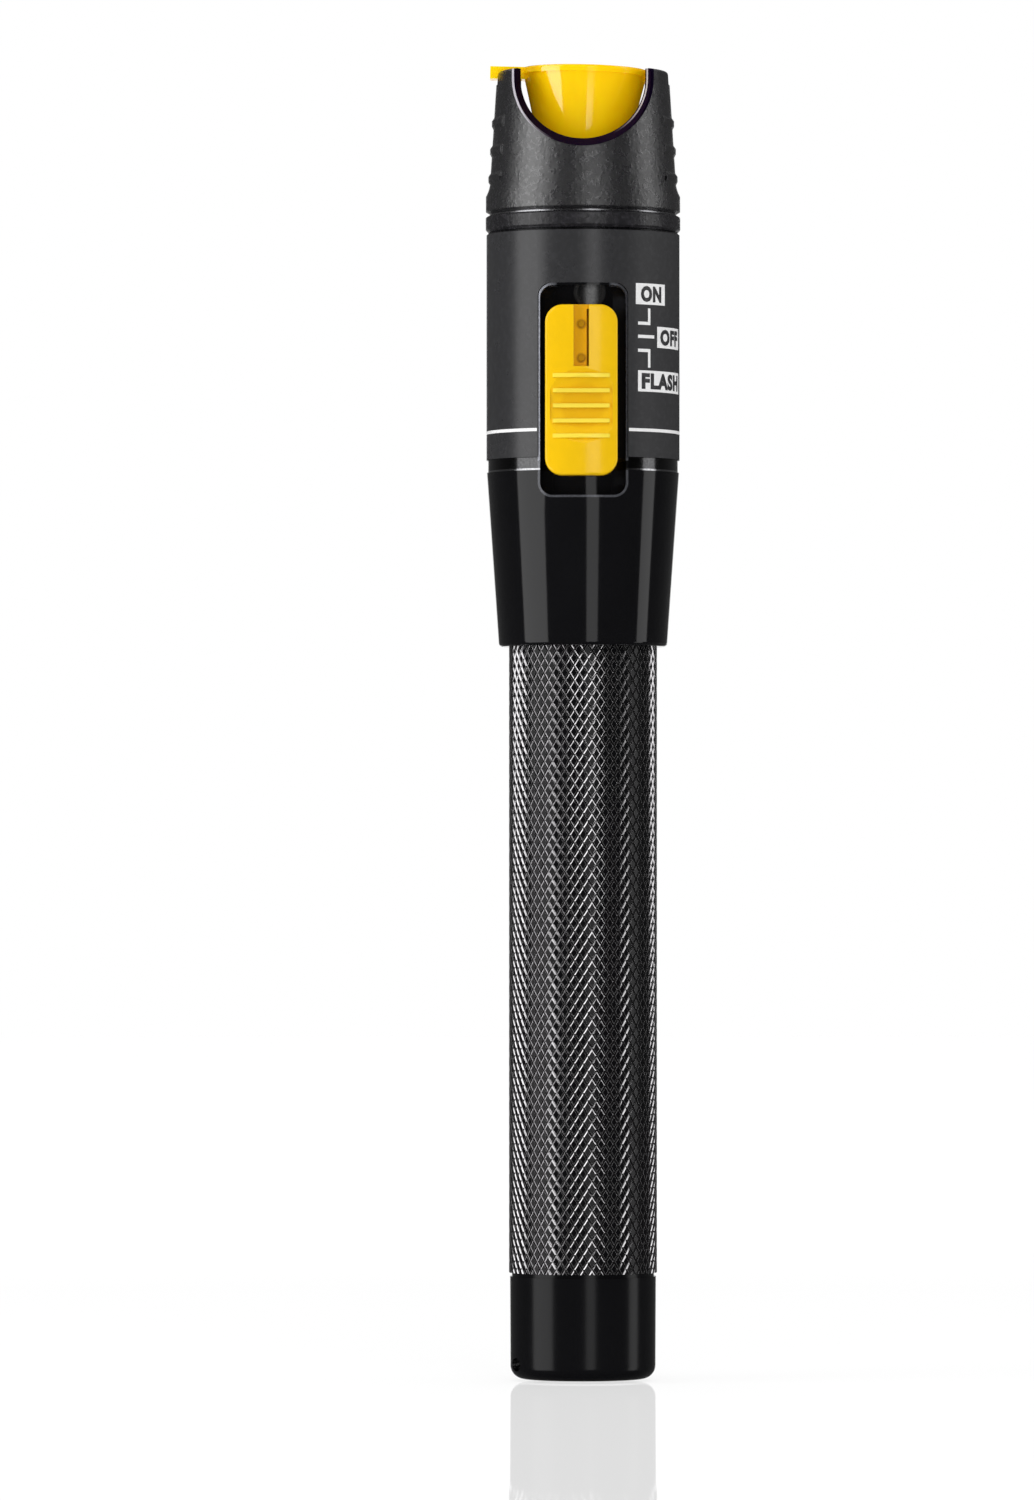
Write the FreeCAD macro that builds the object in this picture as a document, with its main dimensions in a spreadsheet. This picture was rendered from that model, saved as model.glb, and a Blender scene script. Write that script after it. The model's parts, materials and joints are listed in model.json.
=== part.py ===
import FreeCAD, Part
import os
import re
import Sketcher

# Pen-type visual fault locator: a red laser with a 2.5 mm ferrule port under a hinged cap, a slide
# switch in a tapered front body, a knurled tube for two AA cells and a screwed tail cap.
# Millimetres and degrees. The origin is the centre of the tail's flat end, +Z runs up the pen's
# axis to the port, and the switch faces -Y.

DIMENSIONS = [
    # tail cap, its thread and its seal
    ("tail_radius", 9.76, "outside of the tail cap"),
    ("tail_draft", 0.07, "how much narrower the tail cap is at its end"),
    ("tail_height", 13.7, "outside height of the tail cap"),
    ("tail_corner", 1.8, "rounding of the tail's end"),
    ("tail_floor", 4.2, "thickness of the tail's end"),
    ("shoulder_radius", 9.5, "shoulder that the tube seats on"),
    ("shoulder_gap", 0.5, "height of the shoulder between tail cap and tube"),
    ("spigot_radius", 8.7, "thread of the tail cap, over its crests"),
    ("spigot_length", 8.0, "length of that thread"),
    ("thread_clearance", 0.1, "radial play of the tail thread"),
    ("thread_relief", 0.5, "tube bore beyond the end of the tail thread"),
    ("lanyard_radius", 0.9, "lanyard hole"),
    ("lanyard_height", 2.0, "height of the lanyard hole"),
    ("lanyard_offset", 7.4, "distance of the lanyard hole from the axis"),
    ("lanyard_turn", 162.4, "angle about Z of the wall that the hole passes through"),
    ("seal_wire", 0.33, "half of the O-ring's section"),
    ("seal_play", 0.02, "gap of the O-ring to its groove and to the tube"),
    ("seal_rise", 1.2, "height of the O-ring above the shoulder"),
    # cells and contacts
    ("cell_radius", 7.25, "AA cell"),
    ("cell_length", 50.5, "AA cell with its nub"),
    ("cell_edge", 0.5, "crimped edge of a cell"),
    ("nub_radius", 2.75, "nub of a cell"),
    ("nub_height", 1.2, "height of the nub"),
    ("cell_clearance", 0.25, "radial play of the cells in the tube"),
    ("spring_height", 4.8, "tail spring, pressed by the cells"),
    ("spring_radius", 4.0, "mean radius of the tail spring"),
    ("spring_wire", 0.4, "half of the spring's wire"),
    ("spring_turns", 3, "turns of the tail spring"),
    ("stud_head_radius", 2.6, "head of the front contact"),
    ("stud_head_height", 1.2, "height of that head"),
    ("stud_radius", 1.5, "shank of the front contact"),
    ("stud_excess", 1.0, "shank beyond its holder"),
    ("holder_thick", 2.0, "insulating disc that holds the front contact"),
    # battery tube
    ("tube_radius", 9.89, "outside of the knurled tube"),
    ("contact_gap", 2.5, "tube beyond the cells, for the head of the front contact"),
    ("neck_radius", 9.2, "front thread of the tube"),
    ("neck_length", 14.7, "length of the front thread"),
    # front body
    ("body_foot_radius", 11.25, "narrow end of the taper"),
    ("body_foot_edge", 0.5, "rounding of that end"),
    ("taper_radius", 12.86, "wide end of the taper"),
    ("taper_length", 23.2, "length of the taper"),
    ("groove_depth", 0.16, "shallow groove above the taper, below the taper's wide end"),
    ("groove_width", 1.6, "width of that groove"),
    ("straight_length", 30.5, "straight part that carries the label"),
    ("label_radius", 12.9, "outside of the label"),
    ("label_thick", 0.1, "label film"),
    ("label_margin", 0.35, "bare rim above the label"),
    ("label_gap", 0.1, "bare rim below the label"),
    ("main_bore", 9.0, "inside of the front body"),
    ("stop_bore", 8.2, "inner shoulder between carrier and port"),
    ("stop_length", 4.0, "length of that shoulder"),
    ("collar_radius", 10.6, "collar that carries the lock ring and the head"),
    ("collar_length", 5.9, "length of the collar"),
    # recess and slide switch
    ("recess_floor", 10.4, "radius of the recess floor"),
    ("recess_width", 11.4, "width of the recess"),
    ("recess_length", 27.8, "length of the recess"),
    ("recess_corner", 1.7, "corner radius of the recess"),
    ("recess_edge", 0.3, "bare rim between the recess and the label"),
    ("switch_rise", 17.0, "middle of the switch, off, above the foot of the carrier"),
    ("switch_travel", 1.8, "travel from off to either end"),
    ("switch_shift", 0.22, "how far the switch sits to the left of the axis"),
    ("button_width", 9.6, "slider"),
    ("button_length", 22.6, "slider"),
    ("button_corner", 2.3, "corner radius of the slider"),
    ("button_crown", 13.33, "radius about the axis of the slider's top"),
    ("button_lift", 0.1, "gap between slider and recess floor"),
    ("button_edge", 0.35, "rounding of the slider's top edge"),
    ("scoop_radius", 14.0, "hollow for the thumb"),
    ("scoop_depth", 0.9, "depth of that hollow"),
    ("scoop_drop", 2.1, "middle of the hollow below the middle of the slider"),
    ("scoop_width", 8.2, "width of the hollow"),
    ("rib_length", 7.6, "thumb rib"),
    ("rib_thick", 0.6, "thumb rib"),
    ("rib_rise", 0.4, "height of a thumb rib over the hollow"),
    ("rib_crown", 13.45, "radius about the axis of the ribs' tops"),
    ("rib_pitch", 2.0, "spacing of the thumb ribs"),
    ("rib_count", 5, "number of thumb ribs"),
    ("slot_width", 2.0, "groove at the slider's upper end"),
    ("slot_length", 8.2, "length of that groove"),
    ("slot_depth", 0.8, "depth of that groove"),
    ("slit_width", 0.28, "slit along the right side of the groove"),
    ("slit_depth", 1.2, "slit below the floor of the groove"),
    ("slit_inset", 0.6, "end of the slit below the slider's upper end"),
    ("pip_radius", 0.4, "pip in the groove"),
    ("pip_rise", 0.3, "height of a pip"),
    ("pip_inset", 2.6, "upper pip below the slider's upper end"),
    ("pip_spacing", 4.5, "distance between the two pips"),
    ("lever_width", 1.6, "actuator of the switch"),
    ("lever_height", 2.0, "actuator of the switch, along the pen"),
    ("lever_play", 0.3, "gap round the actuator"),
    ("lever_bite", 1.5, "length of the actuator inside the slider"),
    ("case_width", 6.0, "body of the switch"),
    ("case_length", 12.0, "body of the switch"),
    ("case_depth", 3.4, "body of the switch, away from the board"),
    ("case_slot_depth", 2.0, "slot for the actuator in that body"),
    # carrier, board and what is on it
    ("chassis_length", 35.5, "plastic carrier"),
    ("chassis_play", 0.05, "radial play of the carrier"),
    ("chassis_plate", 1.5, "end plate of the carrier"),
    ("board_plane", 3.0, "distance of the board's back from the axis"),
    ("board_thick", 1.6, "circuit board"),
    ("board_width", 15.2, "circuit board"),
    ("board_length", 24.6, "circuit board"),
    ("board_play", 0.1, "gap between board and carrier plates"),
    ("pocket_width", 12.6, "hollow behind the board"),
    ("pocket_depth", 9.0, "depth of that hollow"),
    ("pocket_margin", 4.2, "solid carrier at each end of that hollow"),
    ("screw_inset", 2.2, "board screw from the end of the board"),
    ("screw_radius", 0.6, "shank of a board screw"),
    ("screw_head_radius", 1.0, "head of a board screw"),
    ("screw_head_height", 0.8, "head of a board screw"),
    ("screw_length", 4.0, "shank of a board screw"),
    ("chip_width", 5.0, "driver chip"),
    ("chip_height", 1.4, "driver chip"),
    ("chip_rise", 9.0, "chip above the lower edge of the hollow"),
    ("capacitor_radius", 2.0, "capacitor"),
    ("capacitor_height", 5.0, "capacitor"),
    ("capacitor_rise", 4.5, "capacitor above the lower edge of the hollow"),
    ("resistor_length", 1.6, "resistor"),
    ("resistor_width", 0.8, "resistor"),
    ("resistor_height", 0.5, "resistor"),
    ("resistor_pitch", 1.8, "spacing of the resistors"),
    ("resistor_offset", 4.6, "row of resistors from the middle of the board"),
    # laser module
    ("barrel_radius", 4.5, "brass barrel"),
    ("barrel_length", 12.0, "brass barrel"),
    ("diode_radius", 2.8, "flange of the diode"),
    ("diode_flange", 1.2, "flange of the diode"),
    ("diode_can_radius", 1.8, "can of the diode"),
    ("diode_can_height", 2.4, "can of the diode"),
    ("diode_leg_radius", 0.23, "leg of the diode"),
    ("diode_leg_length", 2.4, "leg of the diode"),
    ("diode_leg_circle", 1.1, "circle that the legs stand on"),
    ("diode_seat", 5.0, "depth of the barrel's bore for the diode"),
    ("lens_radius", 2.2, "focusing lens"),
    ("lens_thick", 1.8, "focusing lens"),
    ("lens_curve", 4.0, "radius of the lens's face"),
    ("lens_plate", 2.0, "front wall of the barrel"),
    ("aperture_radius", 0.8, "hole for the beam"),
    ("set_screw_radius", 0.9, "screw that holds the barrel"),
    ("set_screw_rise", 4.0, "that screw above the barrel's foot"),
    ("set_screw_sink", 0.4, "depth of that screw below the carrier's face"),
    # 2.5 mm ferrule port
    ("flange_thick", 2.5, "flange of the port"),
    ("flange_play", 0.05, "radial play of the flange"),
    ("post_radius", 2.75, "outside of the port"),
    ("port_drop", 9.6, "port's mouth below the top of the head"),
    ("port_lip", 0.4, "lip that keeps the sleeve in"),
    ("lip_radius", 1.4, "opening in the lip"),
    ("sleeve_bore", 1.25, "bore of the split sleeve"),
    ("sleeve_wall", 0.35, "wall of the split sleeve"),
    ("sleeve_slit", 0.5, "slit of the sleeve"),
    ("sleeve_gap", 0.2, "sleeve above the barrel"),
    # lock ring
    ("ring_radius", 13.0, "lock ring"),
    ("ring_width", 2.4, "lock ring"),
    ("ring_bevel", 0.35, "lower bevel of the lock ring"),
    ("ring_edge", 0.2, "rounding of the lock ring"),
    ("vee_depth", 0.68, "groove between lock ring and head"),
    ("vee_width", 0.4, "half of that groove's width"),
    # head
    ("head_length", 19.1, "moulded head"),
    ("base_radius", 12.98, "base band of the head"),
    ("base_width", 2.4, "base band of the head"),
    ("base_slope", 2.2, "height of the hollow slope above the base band"),
    ("base_steps", 6, "facets of that slope"),
    ("cone_foot_radius", 12.4, "foot of the head's cone"),
    ("head_top_radius", 11.48, "top of the head's cone"),
    ("ear_edge", 0.6, "rounding of the ears' outer edge"),
    ("ear_inner_edge", 0.3, "rounding of the ears' inner edge"),
    ("mouth_radius", 9.0, "mouth of the head"),
    ("socket_depth", 4.1, "socket of the head over the collar"),
    ("web_thick", 1.6, "floor of the mouth"),
    ("cut_radius", 8.3, "U cut at the front and the back of the head"),
    ("cut_drop", 1.3, "centre of the U cut below the ears"),
    ("flare_face", 1.1, "bevel of the U cut, on the outside"),
    ("flare_wall", 2.2, "bevel of the U cut, into the wall"),
    ("grip_rise", 0.26, "grip rib of the head"),
    ("grip_width", 1.7, "grip rib of the head"),
    ("grip_flat", 0.68, "flat top of a grip rib"),
    ("grip_sink", 0.09, "upper edge of a grip rib below the cone"),
    ("grip_pitch", 3.7, "spacing of the grip ribs"),
    ("grip_count", 3, "grip ribs on each side"),
    ("grip_height", 4.75, "lowest grip rib above the lock ring"),
    ("grip_sweep", 56.0, "angle that a grip rib covers"),
    # dust cap and its hinge
    ("lid_rise", 0.15, "closed lid above the ears"),
    ("lid_radius", 8.4, "lid"),
    ("lid_rim", 0.9, "edge of the lid"),
    ("lid_thick", 1.65, "tab and knuckle of the lid"),
    ("lid_plate", 1.15, "lid over the bowl"),
    ("lid_edge", 0.3, "rounding of the lid"),
    ("bowl_radius", 8.2, "bowl under the lid"),
    ("bowl_foot_radius", 5.95, "lower end of the bowl"),
    ("bowl_depth", 8.7, "bowl below the tab"),
    ("bowl_wall", 1.2, "wall of the bowl"),
    ("bowl_edge", 0.5, "rounding of the bowl's lower end"),
    ("cap_shift", 0.25, "bowl's axis to the right of the pen's"),
    ("cap_lift", 1.4, "angle at which the cap rests ajar"),
    ("hinge_reach", 10.2, "hinge pin from the pen's axis"),
    ("arm_width", 3.2, "tab and knuckle"),
    ("arm_play", 0.3, "gap round tab and knuckle"),
    ("tab_reach", 12.4, "end of the tab from the pen's axis"),
    ("pin_radius", 0.5, "hinge pin"),
    ("pin_play", 0.06, "radial play of the knuckle on its pin"),
    ("pin_front", 3.8, "front end of the pin from the pen's axis"),
    ("pin_back", 4.6, "rear end of the pin from the pen's axis"),
]

# Places that follow from the sizes, from the tail up.
PLACES = {
    "tube_foot": "tail_height + shoulder_gap",
    "spigot_top": "tube_foot + spigot_length",
    "tail_bore": "spigot_radius + thread_clearance",
    "tail_bore_top": "spigot_top + thread_relief",
    "seal_radius": "tail_bore - seal_play - seal_wire",
    "seal_floor": "seal_radius - seal_wire - seal_play",
    "seal_height": "tube_foot + seal_rise",
    "seal_half": "seal_wire + seal_play",
    "cell_bore": "cell_radius + cell_clearance",
    "rear_cell_foot": "tail_floor + spring_height",
    "front_cell_foot": "rear_cell_foot + cell_length",
    "cells_top": "front_cell_foot + cell_length",
    "tube_head": "cells_top + contact_gap",
    "body_foot": "tube_head - neck_length",
    "groove_foot": "body_foot + taper_length",
    "groove_radius": "taper_radius - groove_depth",
    "seat_foot": "groove_foot + groove_width",
    "seat_radius": "label_radius - label_thick",
    "body_head": "seat_foot + straight_length",
    "label_foot": "seat_foot + label_gap",
    "label_head": "body_head - label_margin",
    "chassis_foot": "tube_head + holder_thick",
    "chassis_head": "chassis_foot + chassis_length",
    "chassis_radius": "main_bore - chassis_play",
    "flange_foot": "chassis_head + stop_length",
    "flange_head": "flange_foot + flange_thick",
    "flange_radius": "main_bore - flange_play",
    "collar_head": "body_head + collar_length",
    "ring_head": "body_head + ring_width",
    "vee_floor": "ring_radius - vee_depth",
    "base_head": "ring_head + base_width",
    "cone_foot": "base_head + base_slope",
    "web_foot": "ring_head + socket_depth",
    "mouth_floor": "web_foot + web_thick",
    "head_top": "ring_head + head_length",
    "cone_slope": "(cone_foot_radius - head_top_radius) / (head_top - cone_foot)",
    "cut_centre": "head_top - cut_drop",
    "port_top": "head_top - port_drop",
    "sleeve_outer": "sleeve_bore + sleeve_wall",
    "sleeve_foot": "flange_foot + sleeve_gap",
    "sleeve_top": "port_top - port_lip",
    "lid_top": "head_top + lid_rise",
    "lid_foot": "lid_top - lid_thick",
    "bowl_foot": "lid_foot - bowl_depth",
    "hinge_height": "lid_top - lid_thick / 2",
    "notch_floor": "lid_foot - arm_play",
    "switch_height": "chassis_foot + switch_rise",
    "recess_low": "switch_height - recess_length / 2",
    "recess_high": "switch_height + recess_length / 2",
    "button_low": "switch_height - button_length / 2",
    "button_high": "switch_height + button_length / 2",
    "button_foot": "recess_floor + button_lift",
    "scoop_height": "switch_height - scoop_drop",
    "scoop_centre": "button_crown - scoop_depth + scoop_radius",
    "rib_low": "scoop_height - rib_pitch * (rib_count - 1) / 2",
    "slot_floor": "button_crown - slot_depth",
    "board_low": "chassis_foot + chassis_plate + board_play",
    "board_high": "board_low + board_length",
    "board_front": "board_plane + board_thick",
    "window_high": "board_high + board_play",
    "pocket_low": "board_low + pocket_margin",
    "pocket_high": "board_high - pocket_margin",
    "case_front": "board_front + case_depth",
    "lever_foot": "case_front - case_slot_depth + lever_play",
    "lever_top": "button_foot + lever_bite",
    "slot_half": "lever_height / 2 + switch_travel + lever_play",
    "barrel_foot": "flange_foot - barrel_length",
    "lens_top": "flange_foot - lens_plate",
    "set_screw_height": "barrel_foot + set_screw_rise",
}

SIZES = {alias for alias, value, note in DIMENSIONS}
FAR = "200"  # longer than the pen, for cuts that run right through
QUARTER = 1.5707963  # a quarter turn in radians
SHORT = 0.1  # shorter than any edge that is bevelled

DOC = FreeCAD.newDocument("VisualFaultLocator")
SHEET = DOC.addObject("Spreadsheet::Sheet", "Sizes")
PIECES = []


# ---------------------------------------------------------------- sizes

def fill_sheet():
    """Write each driving dimension, its alias and its note in the sheet."""
    for row, (alias, value, note) in enumerate(DIMENSIONS, 1):
        SHEET.set("A%d" % row, alias)
        SHEET.set("B%d" % row, str(value))
        SHEET.set("C%d" % row, note)
        SHEET.setAlias("B%d" % row, alias)
    DOC.recompute()


def in_sheet(text):
    """Spell an expression of sizes and places in the sheet's own cells."""
    def spell(match):
        word = match.group()
        if word in PLACES:
            return "(" + in_sheet(PLACES[word]) + ")"
        return "Sizes." + word if word in SIZES else word
    return re.sub(r"[a-z][a-z_]*", spell, text)


def size(text):
    """Value of an expression of sizes and places."""
    return float(SHEET.evalExpression(in_sheet(text)))


def bind(thing, prop, text):
    """Tie a property to the sheet."""
    thing.setExpression(prop, in_sheet(text))


def minus(text):
    return "-(" + text + ")"


# ---------------------------------------------------------------- sketches

def new_body(name):
    """Body of one piece, named after its node."""
    body = DOC.addObject("PartDesign::Body", name)
    body.Label = name
    body.Placement = FreeCAD.Placement()
    PIECES.append(body)
    return body


def sketch_on(body, role, offset="0", turn=0.0):
    """Sketch on one of the body's own origin planes, moved along its normal or turned about Z.

    On XZ_Plane the sketch runs along X and Z and its normal is -Y, towards the switch side."""
    sketch = body.newObject("Sketcher::SketchObject", body.Label + "_sketch")
    plane = [item for item in body.Origin.OriginFeatures if item.Role == role][0]
    sketch.AttachmentSupport = [(plane, "")]
    sketch.MapMode = "FlatFace"
    spin = FreeCAD.Rotation(FreeCAD.Vector(0, 1, 0), turn)
    sketch.AttachmentOffset = FreeCAD.Placement(FreeCAD.Vector(0, 0, size(offset)), spin)
    bind(sketch, "AttachmentOffset.Base.z", offset)
    return sketch


def pin(sketch, item, end, across, up):
    """Hold one point of a sketch item at a place given by two expressions."""
    for kind, axis, text in (("DistanceX", -2, across), ("DistanceY", -1, up)):
        if text == "0":
            sketch.addConstraint(Sketcher.Constraint("PointOnObject", item, end, axis))
            continue
        rule = Sketcher.Constraint(kind, -1, 1, item, end, size(text))
        held = sketch.addConstraint(rule)
        sketch.setExpression("Constraints[%d]" % held, in_sheet(text))


def point(across, up):
    return FreeCAD.Vector(size(across), size(up), 0)


def outline(sketch, corners):
    """Closed outline of straight sides through the corners."""
    first = sketch.GeometryCount
    count = len(corners)
    for here in range(count):
        start, stop = corners[here], corners[(here + 1) % count]
        sketch.addGeometry(Part.LineSegment(point(*start), point(*stop)), False)
    for here in range(count):
        after = first + (here + 1) % count
        sketch.addConstraint(Sketcher.Constraint("Coincident", first + here, 2, after, 1))
        pin(sketch, first + here, 1, *corners[here])
    return sketch


def circle(sketch, across, up, radius):
    """Circle about a place given by two expressions."""
    ring = Part.Circle(point(across, up), FreeCAD.Vector(0, 0, 1), size(radius))
    item = sketch.addGeometry(ring, False)
    pin(sketch, item, 3, across, up)
    held = sketch.addConstraint(Sketcher.Constraint("Radius", item, size(radius)))
    sketch.setExpression("Constraints[%d]" % held, in_sheet(radius))
    return sketch


def box(sketch, left, right, low, high):
    """Rectangle between four expressions."""
    return outline(sketch, [(left, low), (right, low), (right, high), (left, high)])


def rounded_box(sketch, left, right, low, high, corner):
    """Rectangle with round corners: four sides and four quarter arcs that join them."""
    sides = [
        ((left + " + " + corner, low), (right + " - " + corner, low)),
        ((right, low + " + " + corner), (right, high + " - " + corner)),
        ((right + " - " + corner, high), (left + " + " + corner, high)),
        ((left, high + " - " + corner), (left, low + " + " + corner)),
    ]
    centres = [(sides[0][1][0], sides[1][0][1]), (sides[2][0][0], sides[1][1][1]),
               (sides[2][1][0], sides[3][0][1]), (sides[0][0][0], sides[3][1][1])]
    for start, stop in sides:
        side = sketch.addGeometry(Part.LineSegment(point(*start), point(*stop)), False)
        pin(sketch, side, 1, *start)
        pin(sketch, side, 2, *stop)
    for index, centre in enumerate(centres):
        whole = Part.Circle(point(*centre), FreeCAD.Vector(0, 0, 1), size(corner))
        start = (index - 1) * QUARTER
        arc = sketch.addGeometry(Part.ArcOfCircle(whole, start, start + QUARTER), False)
        sketch.addConstraint(Sketcher.Constraint("Coincident", index, 2, arc, 1))
        sketch.addConstraint(Sketcher.Constraint("Coincident", arc, 2, (index + 1) % 4, 1))
        held = sketch.addConstraint(Sketcher.Constraint("Radius", arc, size(corner)))
        sketch.setExpression("Constraints[%d]" % held, in_sheet(corner))
    return sketch


# ---------------------------------------------------------------- features

def turned(name, corners):
    """Body made by turning one closed section about the Z axis."""
    body = new_body(name)
    spin(body, outline(sketch_on(body, "XZ_Plane"), corners))
    return body


def spin(body, sketch, angle=None):
    """Turn a sketch about Z, fully or by an angle shared equally by both sides of its plane."""
    feature = body.newObject("PartDesign::Revolution", body.Label + "_turn")
    feature.Profile = sketch
    feature.ReferenceAxis = (sketch, ["V_Axis"])
    feature.Angle = 360
    if angle:
        feature.Midplane = True
        bind(feature, "Angle", angle)
    DOC.recompute()
    return feature


def pad(body, sketch, length, both=False):
    """Raise a sketch along its normal, or equally on both sides of its plane."""
    feature = body.newObject("PartDesign::Pad", body.Label + "_pad")
    feature.Profile = sketch
    feature.SideType = "Symmetric" if both else "One side"
    bind(feature, "Length", length)
    DOC.recompute()
    return feature


def pocket(body, sketch, length=None, both=False, outward=False):
    """Cut a sketch into the body: against its normal, along it if outward, or both ways.

    A cut without a length runs right through. One that removes nothing is an error."""
    before = body.Shape.Volume
    feature = body.newObject("PartDesign::Pocket", body.Label + "_pocket")
    feature.Profile = sketch
    feature.SideType = "Symmetric" if both else "One side"
    feature.Reversed = outward
    bind(feature, "Length", length or FAR)
    DOC.recompute()
    if not feature.Shape.Volume < before:
        raise RuntimeError(body.Label + ": a pocket cuts nothing")
    return feature


def edges(body, wanted):
    """Names of the edges of the body's last feature that pass a test."""
    found = enumerate(body.Tip.Shape.Edges, 1)
    names = ["Edge%d" % number for number, edge in found if wanted(edge)]
    if not names:
        raise RuntimeError(body.Label + ": no edge to round or bevel")
    return names


def fillet(body, radius, wanted):
    """Round the edges that pass a test."""
    base = body.Tip
    names = edges(body, wanted)
    feature = body.newObject("PartDesign::Fillet", body.Label + "_fillet")
    feature.Base = (base, names)
    bind(feature, "Radius", radius)
    DOC.recompute()
    return feature


def chamfer(body, first, second, wanted):
    """Bevel the edges that pass a test, with a width on each of the two faces."""
    base = body.Tip
    names = edges(body, wanted)
    feature = body.newObject("PartDesign::Chamfer", body.Label + "_chamfer")
    feature.Base = (base, names)
    feature.ChamferType = "Two distances"
    bind(feature, "Size", first)
    bind(feature, "Size2", second)
    DOC.recompute()
    return feature


def near(value, text):
    """Whether a number equals a size or place."""
    return abs(value - size(text)) < 0.001


def hoop(radius, height):
    """Test for the full or partial circle about Z of this radius at this height."""
    def wanted(edge):
        curve = edge.Curve
        round_edge = isinstance(curve, Part.Circle) and near(curve.Center.z, height)
        return round_edge and near(curve.Radius, radius) and abs(curve.Axis.z) > 0.9
    return wanted


def radius_of(spot):
    """Distance of a point from the pen's axis."""
    return (spot.x ** 2 + spot.y ** 2) ** 0.5


def middle(edge):
    """Point half way along an edge."""
    return edge.valueAt((edge.FirstParameter + edge.LastParameter) / 2)


# ---------------------------------------------------------------- plain solids

def cylinder(name, radius, height, x="0", y="0", z="0", axis=None):
    """Part cylinder from a place, along Z unless another axis is given."""
    solid = DOC.addObject("Part::Cylinder", name)
    bind(solid, "Radius", radius)
    bind(solid, "Height", height)
    place(solid, x, y, z, axis)
    return solid


def block(name, width, depth, height, x, y, z):
    """Part box with its low corner at a place."""
    solid = DOC.addObject("Part::Box", name)
    bind(solid, "Length", width)
    bind(solid, "Width", depth)
    bind(solid, "Height", height)
    place(solid, x, y, z)
    return solid


def place(solid, x, y, z, axis=None):
    """Put a solid at a place, with its own Z along the given axis."""
    turn = FreeCAD.Rotation()
    if axis:
        turn = FreeCAD.Rotation(FreeCAD.Vector(0, 0, 1), FreeCAD.Vector(*axis))
    solid.Placement = FreeCAD.Placement(FreeCAD.Vector(size(x), size(y), size(z)), turn)
    for letter, text in (("x", x), ("y", y), ("z", z)):
        bind(solid, "Placement.Base." + letter, text)


def fused(name, first, second):
    """One solid of two."""
    whole = DOC.addObject("Part::Fuse", name)
    whole.Base = first
    whole.Tool = second
    return whole


def group(name, solids):
    """Separate solids kept as one piece."""
    whole = DOC.addObject("Part::Compound", name)
    whole.Links = solids
    return piece(whole, name)


def piece(thing, name):
    """Keep an object as the piece of this name."""
    thing.Label = name
    PIECES.append(thing)
    return thing


# ---------------------------------------------------------------- tail and cells

def tail_cap():
    """Cup with a threaded spigot, an O-ring groove, and a lanyard hole across its thick end."""
    groove_low = "seal_height - seal_half"
    groove_high = "seal_height + seal_half"
    body = turned("tail_cap", [
        ("0", "0"), ("tail_radius - tail_draft", "0"), ("tail_radius", "tail_height"),
        ("shoulder_radius", "tail_height"), ("shoulder_radius", "tube_foot"),
        ("spigot_radius", "tube_foot"), ("spigot_radius", groove_low),
        ("seal_floor", groove_low), ("seal_floor", groove_high),
        ("spigot_radius", groove_high), ("spigot_radius", "spigot_top"),
        ("cell_bore", "spigot_top"), ("cell_bore", "tail_floor"), ("0", "tail_floor"),
    ])
    fillet(body, "tail_corner", hoop("tail_radius - tail_draft", "0"))
    hole = sketch_on(body, "XZ_Plane", turn=size("lanyard_turn"))
    circle(hole, "lanyard_offset", "lanyard_height", "lanyard_radius")
    pocket(body, hole, both=True)


def tail_o_ring():
    """Round rubber ring in the tail cap's groove."""
    ring = DOC.addObject("Part::Torus", "tail_o_ring")
    bind(ring, "Radius1", "seal_radius")
    bind(ring, "Radius2", "seal_wire")
    place(ring, "0", "0", "seal_height")
    piece(ring, "tail_o_ring")


def tail_spring():
    """Coil between the tail cap's floor and the rear cell."""
    body = new_body("tail_spring")
    wire = circle(sketch_on(body, "XZ_Plane"), "spring_radius", "tail_floor + spring_wire",
                  "spring_wire")
    coil = body.newObject("PartDesign::AdditiveHelix", "tail_spring_coil")
    coil.Profile = wire
    coil.ReferenceAxis = (wire, ["V_Axis"])
    coil.Mode = "height-turns-angle"
    bind(coil, "Height", "spring_height - 2 * spring_wire")
    bind(coil, "Turns", "spring_turns")
    DOC.recompute()


def battery(name, foot):
    """AA cell: a can with crimped edges and a nub."""
    can_top = foot + " + cell_length - nub_height"
    turned(name, [
        ("0", foot), ("cell_radius - cell_edge", foot), ("cell_radius", foot + " + cell_edge"),
        ("cell_radius", can_top + " - cell_edge"), ("cell_radius - cell_edge", can_top),
        ("nub_radius", can_top), ("nub_radius", foot + " + cell_length"),
        ("0", foot + " + cell_length"),
    ])


def front_contact():
    """Brass stud with a head against the front cell's nub."""
    turned("front_contact", [
        ("0", "cells_top"), ("stud_head_radius", "cells_top"),
        ("stud_head_radius", "cells_top + stud_head_height"),
        ("stud_radius", "cells_top + stud_head_height"),
        ("stud_radius", "chassis_foot + stud_excess"), ("0", "chassis_foot + stud_excess"),
    ])


def contact_holder():
    """Insulating disc on the end of the tube, with a boss that backs the stud's head."""
    turned("contact_holder", [
        ("stud_radius", "cells_top + stud_head_height"),
        ("stud_head_radius + holder_thick / 2", "cells_top + stud_head_height"),
        ("stud_head_radius + holder_thick / 2", "tube_head"), ("chassis_radius", "tube_head"),
        ("chassis_radius", "chassis_foot"), ("stud_radius", "chassis_foot"),
    ])


def battery_tube():
    """Tube with a bore for the cells, a wider one for the tail thread, and a front neck."""
    turned("battery_tube", [
        ("tail_bore", "tube_foot"), ("tube_radius", "tube_foot"), ("tube_radius", "body_foot"),
        ("neck_radius", "body_foot"), ("neck_radius", "tube_head"), ("cell_bore", "tube_head"),
        ("cell_bore", "tail_bore_top"), ("tail_bore", "tail_bore_top"),
    ])


# ---------------------------------------------------------------- front body

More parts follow.
